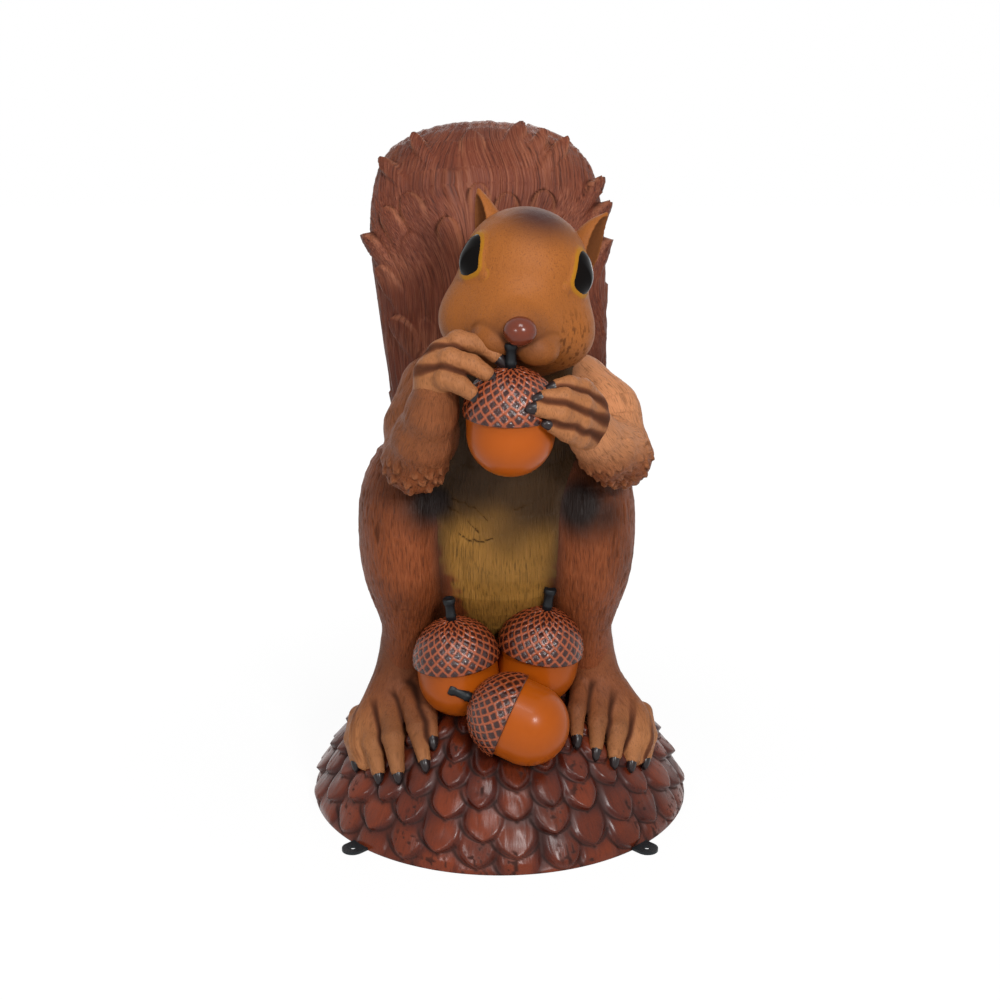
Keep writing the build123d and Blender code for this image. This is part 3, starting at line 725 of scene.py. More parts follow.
# Nose: dark red-brown gloss paint, clouded over 33 mm, so that it looks moist.
nose_paint = varnished("nose_varnished_resin", "#5e2818", "#6a301e", 0.2, patch=33.3, gloss=0.28)
# Fixing bars: black powder coat, whose broad grey lights make it look like coated steel. Its real grain is
# finer than 1 mm and is drawn at 3.33 mm, so that it shows.
bar_paint = varnished("fixing_bar_black_powder_coat", "#14181b", "#1b1f22", 0.45, patch=3.33)
# Steel inside: sprayed grey primer, uneven over 8 mm, which looks flat and dry.
inner_paint = varnished("inner_steel_grey_primer", "#6a6d70", "#5c5f62", 0.5, patch=8.33)
# Screws and studs: zinc plating, pale and lightly shiny. Its fine spangle is drawn at 5 mm, so that it shows.
screw_zinc = varnished("screw_zinc_plated_steel", "#9a9c9e", "#86888a", 0.35, patch=5.0)
# Boards: bare sanded birch plywood in patches of 33 mm, pale and matt.
plywood = varnished("plywood_birch", "#c9a877", "#b08d5b", 0.6, patch=33.3)

# Body forms as fields
torso = Swell(torso_rows)
tail = Swell(tail_rows, times=4)
haunch = {
    side: Swell([(leg_middle + sign * x, *rest) for x, *rest in haunch_rows]) for side, sign in sides.items()
}
foot_body = {side: Swell(foot_rows[side]) for side in sides}
head_turn = np.array([[cos(head_roll), 0, -sin(head_roll)], [0, -1, 0], [sin(head_roll), 0, cos(head_roll)]])


def in_head(points):
    """Points in the head's own frame: right, forward, up."""
    return (points - np.array(head_place)) @ head_turn.T


def from_head(points):
    """The other way round."""
    return np.asarray(points, float) @ head_turn + np.array(head_place)


def toe_chain(rows):
    """A toe's rows, given as heights above the mound, as heights above the floor."""
    return [(x, y, float(dome_top(hypot(x, y))) + lift, radius) for x, y, lift, radius in rows]


toes = {side: [toe_chain(rows) for rows in toe_rows[side]] for side in sides}


def foot_field(side):
    """A foot: its body and five toes."""
    def field(points):
        form = foot_body[side].field(points)
        for chain in toes[side]:
            form = join(form, limb(points, chain, 6.0), 9.0)
        return form
    return field


def arm_field(side):
    """An arm: the upper arm and the forearm, run together at the elbow."""
    def field(points):
        upper, fore = arm_rows[side]
        return join(limb(points, upper, 20.0), limb(points, fore, 20.0), 24.0)
    return field


def hand_field(side):
    """A hand: the palm and its fingers."""
    def field(points):
        form = limb(points, palm_rows[side], 12.0)
        for chain in finger_rows[side]:
            form = join(form, limb(points, chain, 5.0), 8.0)
        return form
    return field


def eye_ways(sign):
    """Outward, upward and noseward directions of an eye, in the head's own frame."""
    out = unit(np.array(eye_out) * (sign, 1, 1))
    up = np.array(eye_up)
    up = unit(up - out * (up @ out))
    return np.stack([out, up, sign * np.cross(up, out)])


def eye_field(side):
    """A teardrop: rounded above and behind, drawn to a corner below, towards the nose."""
    sign = sides[side]
    middle = np.array(eye_middle) * (sign, 1, 1)
    ways = eye_ways(sign)

    def field(points):
        """The oval and its corner."""
        local = (in_head(points) - middle) @ ways.T
        return join(oval(local, (0, 0, 0), eye_half_sizes), limb(local, eye_taper, 8.0), 8.0)
    return field


def bare_head(points):
    """Skull, face, cheeks, muzzle and lips run together."""
    local = in_head(points)
    form = None
    for centre, half_sizes, fillet in head_ovals:
        part = oval(local, centre, half_sizes)
        form = part if form is None else join(form, part, fillet)
    for centre, half_sizes in muzzle_pads:
        form = join(form, oval(local, centre, half_sizes), pad_fillet)
    return form


def pad_crease(points):
    """1 in the folds round the muzzle's pads, where shade is painted."""
    local = in_head(points)
    face = np.full(len(points), 1e3)
    for centre, half_sizes, _ in head_ovals:
        face = np.minimum(face, oval(local, centre, half_sizes))
    parts = [oval(local, centre, half_sizes) for centre, half_sizes in muzzle_pads]
    nearest_two = np.sort(np.stack([face, *parts]), axis=0)
    lowest = ease(-40, -60, local[:, 2])
    between = ease(7, 1, nearest_two[1] - nearest_two[0]) * ease(12, 6, np.minimum(*parts))
    return between * (0.35 + 0.65 * lowest)


def head_field(points):
    """The head with raised rims round the eyes."""
    form = bare_head(points)
    rim = np.full(len(points), 1e9)
    for side in sides:
        eye = eye_field(side)(points)
        rim = np.minimum(rim, np.sqrt(form ** 2 + eye ** 2) - eye_rim)
    return join(form, rim, eye_rim_fillet)


def rim_share(points, normals):
    """1 on the rims round the eyes, measured along the skin."""
    nearest = np.full(len(points), 1e3)
    for side in sides:
        eye = eye_field(side)
        value = eye(points)
        slope = np.stack([eye(points + step) - value for step in np.eye(3)], 1)
        slope -= normals * (slope * normals).sum(1)[:, None]
        nearest = np.minimum(nearest, np.abs(value) / np.maximum(np.linalg.norm(slope, axis=1), 0.2))
    return ease(*rim_paint_ends, nearest)


def box_of(rows_list, margin):
    """The box round several rows of places and sizes."""
    rows = [row for rows in rows_list for row in rows]
    places = np.array([row[:3] for row in rows], float)
    reach = np.array([max(row[3:]) for row in rows], float)[:, None] + margin
    return (places - reach).min(0), (places + reach).max(0)


# Each form's field, and the box that it lies in
fields = {"torso": torso.field, "tail": tail.field, "head": head_field}
reaches = {
    "torso": box_of([torso_rows], 8),
    "tail": box_of([tail_rows], 12),
    "head": (np.array(head_place) - (145, 185, 150), np.array(head_place) + (145, 125, 150)),
}
# Which forms run into each other, and how wide the fillet is
neighbours = {
    "torso": {"haunch_left": 36, "haunch_right": 36, "arm_left": 36, "arm_right": 36, "head": 40, "tail": 20},
    "tail": {"torso": 20},
    "head": {"torso": 40},
}
# Painted shade in the folds: which forms shade a piece, and how far from them it fades out
shaded_by = {
    "torso": {"haunch_left": 42, "haunch_right": 42, "arm_left": 70, "arm_right": 70, "hand_left": 60,
              "hand_right": 60},
    "tail": {"torso": 60, "head": 34, "arm_left": 30, "arm_right": 30, "haunch_left": 50, "haunch_right": 50},
    "head": {"torso": 46, "arm_right": 40, "arm_left": 40},
}
for side in sides:
    names = [f"{form}_{side}" for form in ("haunch", "foot", "arm", "hand")]
    haunch_name, foot_name, arm_name, hand_name = names
    fields[haunch_name] = haunch[side].field
    fields[foot_name] = foot_field(side)
    fields[arm_name] = arm_field(side)
    fields[hand_name] = hand_field(side)
    reaches[haunch_name] = box_of([haunch[side].rows.tolist()], 8)
    reaches[foot_name] = box_of([foot_rows[side], *toes[side]], 8)
    reaches[arm_name] = box_of(arm_rows[side], 8)
    reaches[hand_name] = box_of([palm_rows[side], *finger_rows[side]], 6)
    neighbours[haunch_name] = {"torso": 36, foot_name: 26}
    neighbours[foot_name] = {haunch_name: 26}
    neighbours[arm_name] = {"torso": 36, hand_name: 14}
    neighbours[hand_name] = {arm_name: 14}
    shaded_by[haunch_name] = {"torso": 30, arm_name: 80}
    shaded_by[foot_name] = {haunch_name: 8}
    shaded_by[arm_name] = {"torso": 24}
# Painted shade in the deepest corners, under the elbows: x, y, z, radius, strength
painted_shade_spots = [
    (-118, -130, 612, 86, 1.0),
    (-150, -110, 630, 60, 0.8),
    (140, -130, 606, 92, 1.0),
    (170, -115, 585, 70, 0.9),
    (110, -140, 640, 80, 0.8),
    (-85, -150, 640, 60, 0.7),
]
painted_shade_pieces = ("torso", "haunch_left", "haunch_right")
# Each piece runs on this far under its neighbours, sunk a little below their skin.
seam_overlap = 7.0
seam_inset = 0.6
near_reach = 60.0
fold_shade = 0.85


def neighbour_distance(name, points, reach=near_reach):
    """Distance to a form, worked out only for points near its box."""
    low, high = reaches[name]
    near = np.all((points > low - reach) & (points < high + reach), axis=1)
    distance = np.full(len(points), 1e3)
    if near.any():
        distance[near] = fields[name](points[near])
    return distance


def piece_field(name):
    """One form's own share of the joined skin, closed behind its seams."""
    def field(points):
        own = fields[name](points)
        whole = own
        other = np.full(len(points), 1e6)
        for neighbour, width in neighbours[name].items():
            distance = neighbour_distance(neighbour, points)
            whole = join(whole, distance, width)
            other = np.minimum(other, distance)
        share = own - other
        return np.maximum(whole + seam_inset * np.clip(share, 0, 1), share - seam_overlap)
    return field


def seam_fade(name, points):
    """1 away from a form's seams, 0 on them."""
    own = fields[name](points)
    other = np.full(len(points), 1e6)
    for neighbour in neighbours[name]:
        other = np.minimum(other, neighbour_distance(neighbour, points))
    return ease(-2.0, -30.0, own - other)


def scattered(points, spacing, tries, seed):
    """Numbers of skin points picked by chance, none nearer to each other than spacing."""
    order = np.random.default_rng(seed).permutation(len(points))[:tries]
    kept = np.empty((len(order), 3))
    chosen = []
    for number in order:
        place = points[number]
        if not chosen or ((kept[:len(chosen)] - place) ** 2).sum(1).min() > spacing ** 2:
            kept[len(chosen)] = place
            chosen.append(number)
    return np.array(chosen)


def lay_locks(points, locks, soft):
    """Laps locks of fur over a skin. Gives the height, the painted shadow in the gaps and the painted light on
    the rims.
    """
    height = np.zeros(len(points))
    gap = np.zeros(len(points))
    rim = np.zeros(len(points))
    order = np.argsort(points[:, 2])
    levels = points[order, 2]
    for tip, out, heading, half_width, length, lift, bend, painted_shading in locks:
        reach = length + half_width
        first, last = np.searchsorted(levels, (tip[2] - reach, tip[2] + reach))
        index = order[first:last]
        away = points[index] - tip
        back = -(away @ heading)
        up = away @ out
        across = away @ np.cross(out, heading) + bend * (back / length) ** 2
        near = (back > -8) & (back < length) & (np.abs(across) < half_width + 8) & (np.abs(up) < reach * 0.45)
        index, back, up, across = index[near], back[near], up[near], across[near]
        # A lock is widest behind its rounded tip, narrows towards its root, and rises towards the tip.
        rounded = half_width * 1.3
        tip_share = np.clip(back / rounded, 0, 1)
        taper = 1 - 0.35 * np.clip((back - rounded) / (length - rounded), 0, 1)
        outline = half_width * np.sqrt(1 - (1 - tip_share) ** 2) * taper
        inside = np.where(back > 0, outline - np.abs(across), -np.hypot(back, across))
        rise = np.clip(1 - back / length, 0, 1)
        edge = ease(0, max(soft, 0.35 * half_width), inside)
        made = lift * rise ** 2.2 * edge * (1 - 0.35 * np.clip(across / half_width, -1, 1) ** 2)
        # The highest lock wins, and a painted shadow runs round its tip; painted rim light lies just inside
        # its edge.
        wins = made > height[index]
        mark = ease(-1.7 * soft, 0, inside) * ease(soft, 0, inside) * ease(0.72, 0.92, rise) * painted_shading
        gap[index] = np.where(wins, mark, np.maximum(gap[index], mark * (height[index] < lift)))
        lit = ease(2.6 * soft, soft, inside) * ease(0.6, 0.85, rise) * painted_shading
        rim[index[wins]] = lit[wins]
        height[index] = np.maximum(height[index], made)
    return height, gap, rim


def carved(name, step, strand, clumps, depth, painted_shading, make_locks=None, soft=None, sink=0.0):
    """A form's skin with its fur carved in: points, quads, what the paint needs, the bare skin, its normals.

    Step is the size of the mesh's cells. Strand gives the coordinates that run with the fur. Each clump
    is a width, a length and a share of the relief, which is depth deep. Where there are locks, the skin is
    sunk a little between them, and soft is how wide their edges are. Painted shading is how dark the painted
    shade in the hollows and round the locks' tips is, and how bright the painted light on the locks' rims.
    """
    low, high = reaches[name]
    points, quads, normals = net(piece_field(name), low - seam_overlap, high + seam_overlap, step)
    normals = unit(normals)
    flow = strand(points)
    fade = seam_fade(name, points)
    height = gap = rim = np.zeros(len(points))
    if make_locks:
        locks = make_locks(points, normals)
        height, gap, rim = lay_locks(points, locks, soft)
        height = height - sink
    relief = np.zeros(len(points))
    for seed, (width, length, share) in enumerate(clumps):
        warp = noise(flow / np.array([width * 4, width * 4, length * 1.3]), seed + 20)[:, None] * 1.6
        relief += share * ridges(flow / np.array([width, width, length]) + warp, seed)
    relief = relief / sum(share for _, _, share in clumps) - 0.55
    # Painted shade near the forms that shade this piece, and in the deepest corners
    shade = np.zeros(len(points))
    for shader, reach in shaded_by.get(name, {}).items():
        near_form = neighbour_distance(shader, points, reach)
        shade = np.maximum(shade, ease(reach, 0, near_form) * fold_shade)
    for *spot, radius, strength in painted_shade_spots if name in painted_shade_pieces else ():
        away = np.linalg.norm(points - spot, axis=1)
        shade = np.maximum(shade, ease(radius, radius * 0.25, away) * strength)
    moved = points + normals * ((relief * depth + height) * fade)[:, None]
    # Painted shade in the relief's hollows and painted shadow round the locks' tips go into the groove; the
    # locks' painted rim light goes into the tone.
    groove = np.maximum(ease(0.0, -0.3, relief) * painted_shading, gap * 0.9) * fade
    layers = {"strand": flow, "groove": groove, "shade": shade, "tone": rim * fade}
    return moved, quads, layers, points, normals


# Folds of the belly, painted dark as shade: how deep they are cut, and x and z along each line
crack_depth = 1.6
belly_folds = [
    [(-90, 619), (-62, 612), (-36, 598), (-20, 580)],
    [(-92, 600), (-70, 592), (-50, 576), (-38, 560)],
    [(-84, 562), (-60, 548), (-30, 545), (-14, 552)],
    [(24, 604), (50, 610), (76, 622)],
]

# Locks of the tail seen in the photograph: tip x, y, z near the skin, half width, length, lift, lean to the
# right in radians, bend
tail_front_locks = [
    (-192, 110, 1139, 26, 190, 9, -0.25, 26),
    (-226, 160, 1097, 22, 190, 9, -0.35, 22),
    (-101, 110, 1085, 24, 180, 14, -0.05, 14),
    (17, 120, 1131, 24, 160, 10, 0.08, 0),
    (-42, 125, 1150, 22, 160, 8, -0.1, 6),
    (89, 125, 1138, 24, 160, 9, 0.0, -10),
    (-203, 150, 890, 26, 150, 15, -0.45, 14),
    (-222, 175, 985, 24, 180, 10, -0.4, 26),
    (-160, 230, 1215, 17, 110, 22, -0.3, 10),
    (-212, 230, 1165, 17, 110, 20, -0.4, 10),
    (43, 250, 1243, 20, 120, 14, 0.25, -10),
    (-55, 220, 1238, 26, 180, 7, -0.1, 10),
    (121, 230, 1208, 18, 110, 22, 0.3, -8),
    (84, 240, 1222, 18, 110, 16, 0.25, -8),
    (172, 220, 1130, 17, 120, 20, 0.35, -10),
    (190, 210, 1092, 18, 120, 20, 0.35, -10),
    (-228, 200, 1040, 18, 120, 18, -0.4, 10),
    (200, 200, 1030, 18, 120, 16, 0.35, -10),
]
front_lift = 1.25
# The tail's other locks are put down by chance, this far apart, and clear of the ones above.
lock_spacing = 62
lock_clearance = 58
lock_tries = 6000
tail_half_width = 215
# The tail's strands spread from the root up to this far along it, and wave slowly.
fan_length = 1000
fan_root = 1.5
wave_size = (150, 150, 190)
wave_width = 130


def turned_lock(tip, out, way, lean, half_width, length, lift, bend, painted_shading):
    """A lock whose heading is the fur's way, leaned sideways in the skin."""
    out = unit(out)
    way = unit(way - out * (way @ out))
    heading = way * cos(lean) + np.cross(way, out) * sin(lean)
    return tip, out, heading, half_width, length, lift, bend, painted_shading


def tail_locks(points, normals):
    """The locks seen in the photograph, and more of the same kind over the rest of the tail."""
    locks = []
    ways = tail.heading(points)
    for x, y, z, half_width, length, lift, lean, bend in tail_front_locks:
        number = np.argmin(((points - (x, y, z)) ** 2).sum(1))
        locks.append(turned_lock(points[number], normals[number], ways[number], lean, half_width, length,
                                 lift * front_lift, bend, 1.0))
    placed = np.array([lock[0] for lock in locks])
    chance = np.random.default_rng(7)
    for number in scattered(points, lock_spacing, lock_tries, 5):
        place = points[number]
        draw = chance.random(4)
        if ((placed - place) ** 2).sum(1).min() < lock_clearance ** 2:
            continue
        side = place[0] / tail_half_width
        facing = 1.0 if normals[number][1] < 0 else -1.0
        lean = facing * (side * 0.55 + 0.1) + (draw[0] - 0.5) * 0.35
        tall = draw[1] ** 3
        locks.append(turned_lock(place, normals[number], ways[number], lean, 17 + 12 * draw[2],
                                 200 + 80 * draw[3], 1.5 + 7 * tall, facing * side * -26, 0.1 + 0.5 * tall))
    return locks


def elbow_locks(elbow):
    """A rule for short shaggy locks low on an arm, drawn towards the point of the elbow."""
    def rule(points, normals):
        """The locks on this skin."""
        chance = np.random.default_rng(4)
        locks = []
        for number in scattered(points, 19, 5000, 4):
            draw = chance.random(4)
            place = points[number]
            share = 1.05 * float(ease(30, -25, place[2] - elbow[2]))
            if share <= 0.02:
                continue
            size = 0.75 + 0.5 * draw[1]
            way = elbow + (0, 30, -60) - place
            lift = 5.0 * share * (0.5 + draw[2])
            locks.append(turned_lock(place, normals[number], way, (draw[0] - 0.5) * 0.7, 7 * size, 46 * size,
                                     lift, (draw[3] - 0.5) * 6, min(0.9 * share, 1.0)))
        return locks
    return rule


# Tail, with its left and right mouldings in one piece
def tail_strand(points):
    """Fur that fans outwards up the tail, in slow waves."""
    flow = tail.strand(points)
    flow[:, 0] *= fan_root - (fan_root - 1) * np.clip(flow[:, 2] / fan_length, 0, 1)
    flow[:, 0] += (noise(points / wave_size, 51) - 0.5) * wave_width
    return flow


points, quads, layers, _, _ = carved(
    "tail", step=3.3, strand=tail_strand, clumps=[(26, 300, 0.7), (12, 240, 1.0), (6.6, 160, 0.8)], depth=6.0,
    painted_shading=0.5, make_locks=tail_locks, soft=4.0, sink=2.0)
# Lighter patches, and painted shade towards the root
layers["tone"] = np.clip(layers["tone"] + ease(0.4, 0.8, noise(points / 70, 5)) * 0.3, 0, 1)
layers["shade"] = np.maximum(layers["shade"], ease(980, 620, points[:, 2]) * 0.45)
make_piece("tail_fur", points, quads, tail_paint, ["tail_left", "tail_right"], layers)


# Torso, with its front and back mouldings in one piece
def crack_share(points):
    """1 along the folds drawn across the belly."""
    nearest = np.full(len(points), 1e3)
    flat = points[:, [0, 2]] + (noise(points / 9, 31)[:, None] - 0.5) * 5
    for line in belly_folds:
        for start, end in zip(np.array(line[:-1], float), np.array(line[1:], float)):
            along = end - start
            share = np.clip((flat - start) @ along / (along @ along), 0, 1)
            nearest = np.minimum(nearest, np.linalg.norm(flat - start - share[:, None] * along, axis=1))
    return ease(2.6, 0.4, nearest) * ease(0.2, 0.6, noise(points / 16, 33))


points, quads, layers, skin, normals = carved(
    "torso", step=3.2, strand=torso.strand, clumps=[(16, 70, 0.6), (7, 34, 1.0)], depth=2.4, painted_shading=0.45)
# The ochre belly's half width at each height, and what of the skin faces forwards
belly_width = np.interp(points[:, 2], [330, 440, 520, 620, 760], [52, 84, 118, 150, 170])
front = ease(-20, -60, points[:, 1] - np.interp(points[:, 2], [300, 900], [20, -60]))
belly = ease(1.12, 0.84, np.abs(points[:, 0] - 5) / belly_width + (noise(points / 12, 8) - 0.5) * 0.3) * front
crack = crack_share(skin) * front
# Painted shade darkens the chest, beginning higher on the left than on the right.
chest_shade_level = skin[:, 2] + 0.3 * skin[:, 0] + 70 * (noise(skin / 60, 35) - 0.5)
points = points - normals * (crack * crack_depth)[:, None]
layers["shade"] = np.maximum(layers["shade"], ease(505, 615, chest_shade_level) * front * 0.88)
layers["tone"] = belly
# Painted shade in the belly's folds, and weaker painted shade in the strands' hollows on the ochre belly
layers["groove"] = np.maximum(layers["groove"] * (1 - 0.45 * belly), crack)
make_piece("torso_fur", points, quads, body_paint, ["torso_front", "torso_back"], layers)


def finger_gap(points, chains):
    """1 in the folds between a hand's or a foot's digits."""
    apart = np.sort(np.stack([limb(points, chain, 5.0) for chain in chains]), axis=0)
    return ease(12, 1, apart[1] - apart[0]) * ease(20, 6, apart[0])


for side in sides:
    points, quads, layers, _, _ = carved(
        "haunch_" + side, step=3.2, strand=haunch[side].strand, clumps=[(15, 44, 0.7), (6.6, 22, 1.0)],
        depth=2.8, painted_shading=0.55)
    make_piece(f"haunch_{side}_fur", points, quads, body_paint, ["haunch_" + side], layers)

    points, quads, layers, skin, _ = carved(
        "foot_" + side, step=2.6, strand=foot_body[side].strand, clumps=[(10, 40, 1.0), (6, 20, 0.6)],
        depth=1.4, painted_shading=0.35)
    # Painted shade between the toes, and painted light on them below the ankle
    fold = finger_gap(skin, toes[side])
    layers["groove"] = np.maximum(layers["groove"], fold * 0.8)
    layers["tone"] = ease(0.5, 0.0, fold) * ease(250, 150, points[:, 2]) * 0.9
    make_piece(f"foot_{side}_skin", points, quads, hand_paint, ["foot_" + side], layers)

    upper, fore = arm_rows[side]
    arm = Swell([(x, y, z, radius, radius) for x, y, z, radius in upper + fore[1:]], (0, 0, 1))
    points, quads, layers, _, _ = carved(
        "arm_" + side, step=2.8, strand=arm.strand, clumps=[(10, 50, 1.0), (5.5, 24, 0.8)], depth=2.6,
        painted_shading=0.45, make_locks=elbow_locks(np.array(upper[-1][:3], float)), soft=3.6, sink=1.2)
    # Tan above the elbow, most of all on the right arm, where the extra tan is painted light
    tan_and_light_share = 1.0 if side == "right" else 0.15
    layers["tone"] = layers["tone"] * 0.3 + tan_and_light_share * ease(680, 760, points[:, 2])
    make_piece(f"arm_{side}_fur", points, quads, arm_paint, ["arm_" + side], layers)

    points, quads, layers, skin, _ = carved(
        "hand_" + side, step=2.1, strand=np.copy, clumps=[(9, 9, 1.0)], depth=0.8, painted_shading=0.15)
    # Painted shade between the fingers, and painted light on them
    fold = finger_gap(skin, finger_rows[side])
    layers["groove"] = np.maximum(layers["groove"], fold * 0.7)
    layers["tone"] = ease(0.5, 0.0, fold) * 0.75
    make_piece(f"hand_{side}_skin", points, quads, hand_paint, ["hand_" + side], layers)

# Head
points, quads, layers, skin, normals = carved(
    "head", step=2.7, strand=np.copy, clumps=[(12, 12, 1.0)], depth=0.5, painted_shading=0.0)
# Dark crown and muzzle, specks on the jaw, painted shade in the folds round the muzzle's pads, and rims round
# the eyes
crown = ease(92, 12, np.linalg.norm((points - crown_place) / (1.0, 1.0, 0.9), axis=1))
muzzle = ease(85, 20, np.linalg.norm((points - muzzle_place) / (1.2, 1.0, 0.8), axis=1))
layers["tone"] = np.maximum(crown, muzzle * 0.5)
jaw = ease(75, 35, np.linalg.norm(points - from_head(jaw_place), axis=1))
layers["groove"] = ease(0.6, 0.75, noise(points / (3.5, 3.5, 7.5), 41)) * jaw * 0.7
layers["groove"] = np.maximum(layers["groove"], pad_crease(points) * 0.85)
layers["rim"] = rim_share(skin, normals)
make_piece("head_fur", points, quads, head_paint, ["head_shell"], layers)

for side, sign in sides.items():
    ear = Swell(ear_rows[side])
    outwards, backwards, upwards = ear_hollow_shift
    hollow = Swell([(x + sign * outwards, y + backwards, z + upwards, width * ear_hollow_share,
                     depth * ear_hollow_share) for x, y, z, width, depth in ear_rows[side]])

    def ear_form(points, ear=ear, hollow=hollow):
        """The ear with its hollow."""
        return carve(ear.field(points), hollow.field(points), 4.0)

    points, quads, _ = net(ear_form, *box_of([ear_rows[side]], 8), step=2.0)
    # Painted shade in the hollow
    inside = ease(3.0, -1.0, hollow.field(points))
    layers = {"strand": points.copy(), "groove": inside * 0.8, "tone": np.zeros(len(points))}
    make_piece(f"ear_{side}_skin", points, quads, head_paint, ["ear_" + side], layers)

    middle = from_head(np.array(eye_middle) * (sign, 1, 1))
    points, quads, _ = net(eye_field(side), middle - eye_margin, middle + eye_margin, step=2.0)
    make_piece(f"eye_{side}_ball", points, quads, eye_gloss, ["eye_" + side])


# Nose
def nose_field(points):
    """An oval ball."""
    return oval(points, nose_place, nose_half_sizes)


points, quads, _ = net(nose_field, *box_of([[nose_place + nose_half_sizes]], 6), step=1.6)
make_piece("nose_tip", points, quads, nose_paint, ["nose"])


# Claws
def claw_tube(chain, length, radius, droop):
    """A short curved claw from a digit's tip."""
    tip = np.array(chain[-1][:3], float)
    heading = unit(tip - np.array(chain[-2][:3], float))
    shares = np.linspace(-0.35, 1, 9)
    places = np.array([tip + heading * length * s + np.array(droop) * max(s, 0) ** 2 for s in shares])
    radii = radius * np.sqrt(np.clip(1 - ((shares - 0.1) / 0.92) ** 2, 0.02, 1))
    return tube(places, radii, 12)


for side in sides:
    for digits, chains, length, radius, droop in (
        ("hand", finger_rows[side], 26, 11, (0, 2, -9)),
        ("foot", toes[side], 22, 10.5, (0, 0, -8)),
    ):
        points, faces = merged([claw_tube(chain, length, radius, droop) for chain in chains])
        node = f"{digits}_claws_{side}"
        make_piece(f"{digits}_{side}_claws", points, faces, claw_paint, [node])


# Mound: rows of pinecone scales, each a raised tongue that laps the row below
def mound_point(reach, angle, lift):
    """Points of the mound from an arc length down from the top, an angle, and a height off its skin."""
    radius = np.interp(reach, arc_reach, arc_radius)
    height = np.interp(reach, arc_reach, arc_height)
    out = np.interp(reach, arc_reach, arc_out)
    up = np.interp(reach, arc_reach, arc_up)
    radius = radius + out * lift
    return np.stack([radius * np.cos(angle), radius * np.sin(angle), height + up * lift], -1)


# The mound's outline, followed down from the top: how far along it each point lies, and which way its skin
# faces
arc_turn = np.linspace(0, pi / 2, 400)[::-1]
arc_radius = base_radius * np.cos(arc_turn)
arc_height = dome_top(arc_radius)
arc_step = np.hypot(np.diff(arc_radius), np.diff(arc_height))
arc_reach = np.concatenate([[0], np.cumsum(arc_step)])
arc_out = -np.gradient(arc_height, arc_reach)
arc_up = np.gradient(arc_radius, arc_reach)
mound_reach = arc_reach[-1]

# Scales: the number round the mound, then in millimetres the space between them in a column, their length, how
# far their tips stand up, the rounded part of the tip, and how far the lowest tip is from the mound's foot
scale_columns = 30
scale_pitch = 55.0
scale_length = 98.0
scale_lift = 17.0
scale_tip = 42.0
lowest_tip = 6.0
# How far a scale strays from its place, as shares of the pitch and of the column, and how round its tip is
row_stray = 0.24
column_stray = 0.22
tip_roundness = 0.62
# The scales' mean height, which is taken off so that they stay about the solid's skin
scale_level = 9.0
# The inner skin's depth, and its depth at the mound's foot
mound_wall = 22.0
foot_wall = 10.0
# Rings of points: wide apart on the covered crown, close on the scales that show
crown_reach = 150
crown_rings = np.linspace(2, crown_reach, 30)[:-1]
ring_reach = np.concatenate([crown_rings, np.linspace(crown_reach, mound_reach, 150)])
around = 600
inner_every = 12
reach, turn = np.meshgrid(ring_reach, np.arange(around) / around * 2 * pi, indexing="ij")
radius = np.interp(reach, arc_reach, arc_radius)
from_rim = mound_reach - reach
column_turn = 2 * pi / scale_columns
shape = reach.shape
height, gap, wash, crest = np.zeros((4, *shape))
for column_offset in (-1, 0, 1, 2):
    column = np.floor(turn / column_turn) + column_offset
    ring_column = np.mod(column, scale_columns)
    for row_offset in (-2, -1, 0, 1):
        half = 0.5 * (ring_column % 2)
        row = np.floor((from_rim - lowest_tip) / scale_pitch - half) + row_offset
        cells = np.stack([ring_column.ravel(), row.ravel(), np.full(row.size, 5)], 1)
        draw = [cell_value(cells, seed).reshape(row.shape) for seed in (1, 2, 3, 4)]
        tip_from_rim = lowest_tip + (row + half + (draw[0] - 0.5) * row_stray) * scale_pitch
        middle_turn = (column + (draw[1] - 0.5) * column_stray) * column_turn
        back = from_rim - tip_from_rim
        across = (turn - middle_turn) * radius
        half_width = column_turn * radius * (0.56 + 0.1 * draw[2])
        tip_share = np.clip(back / scale_tip, 0, 1)
        outline = half_width * (1 - (1 - tip_share) ** 2) ** tip_roundness
        inside = np.where(back > 0, outline - np.abs(across), -np.hypot(back, across))
        rise = np.clip(1 - back / scale_length, 0, 1)
        lift = scale_lift * (0.75 + 0.5 * draw[3])
        made = lift * rise ** 1.1 * ease(-2, 15, inside) * (1 - 0.35 * (across / half_width) ** 2)
        made[back < -8] = 0
        # The highest scale wins, and a painted shadow runs round its tip.
        wins = made > height
        mark = ease(-9, -1, inside) * ease(7, 0, inside) * ease(0.45, 0.75, rise)
        gap = np.where(wins, mark, np.maximum(gap, mark * (height < lift * 0.7)))
        wash = np.where(wins, draw[2], wash)
        crest = np.where(wins, ease(6, 24, inside) * ease(0.25, 0.6, rise), crest)
        height = np.maximum(height, made)
# Lower relief at the mound's foot, and on the crown, which the body covers
fade = ease(0, 20, from_rim) * (0.3 + 0.7 * ease(120, 230, radius))
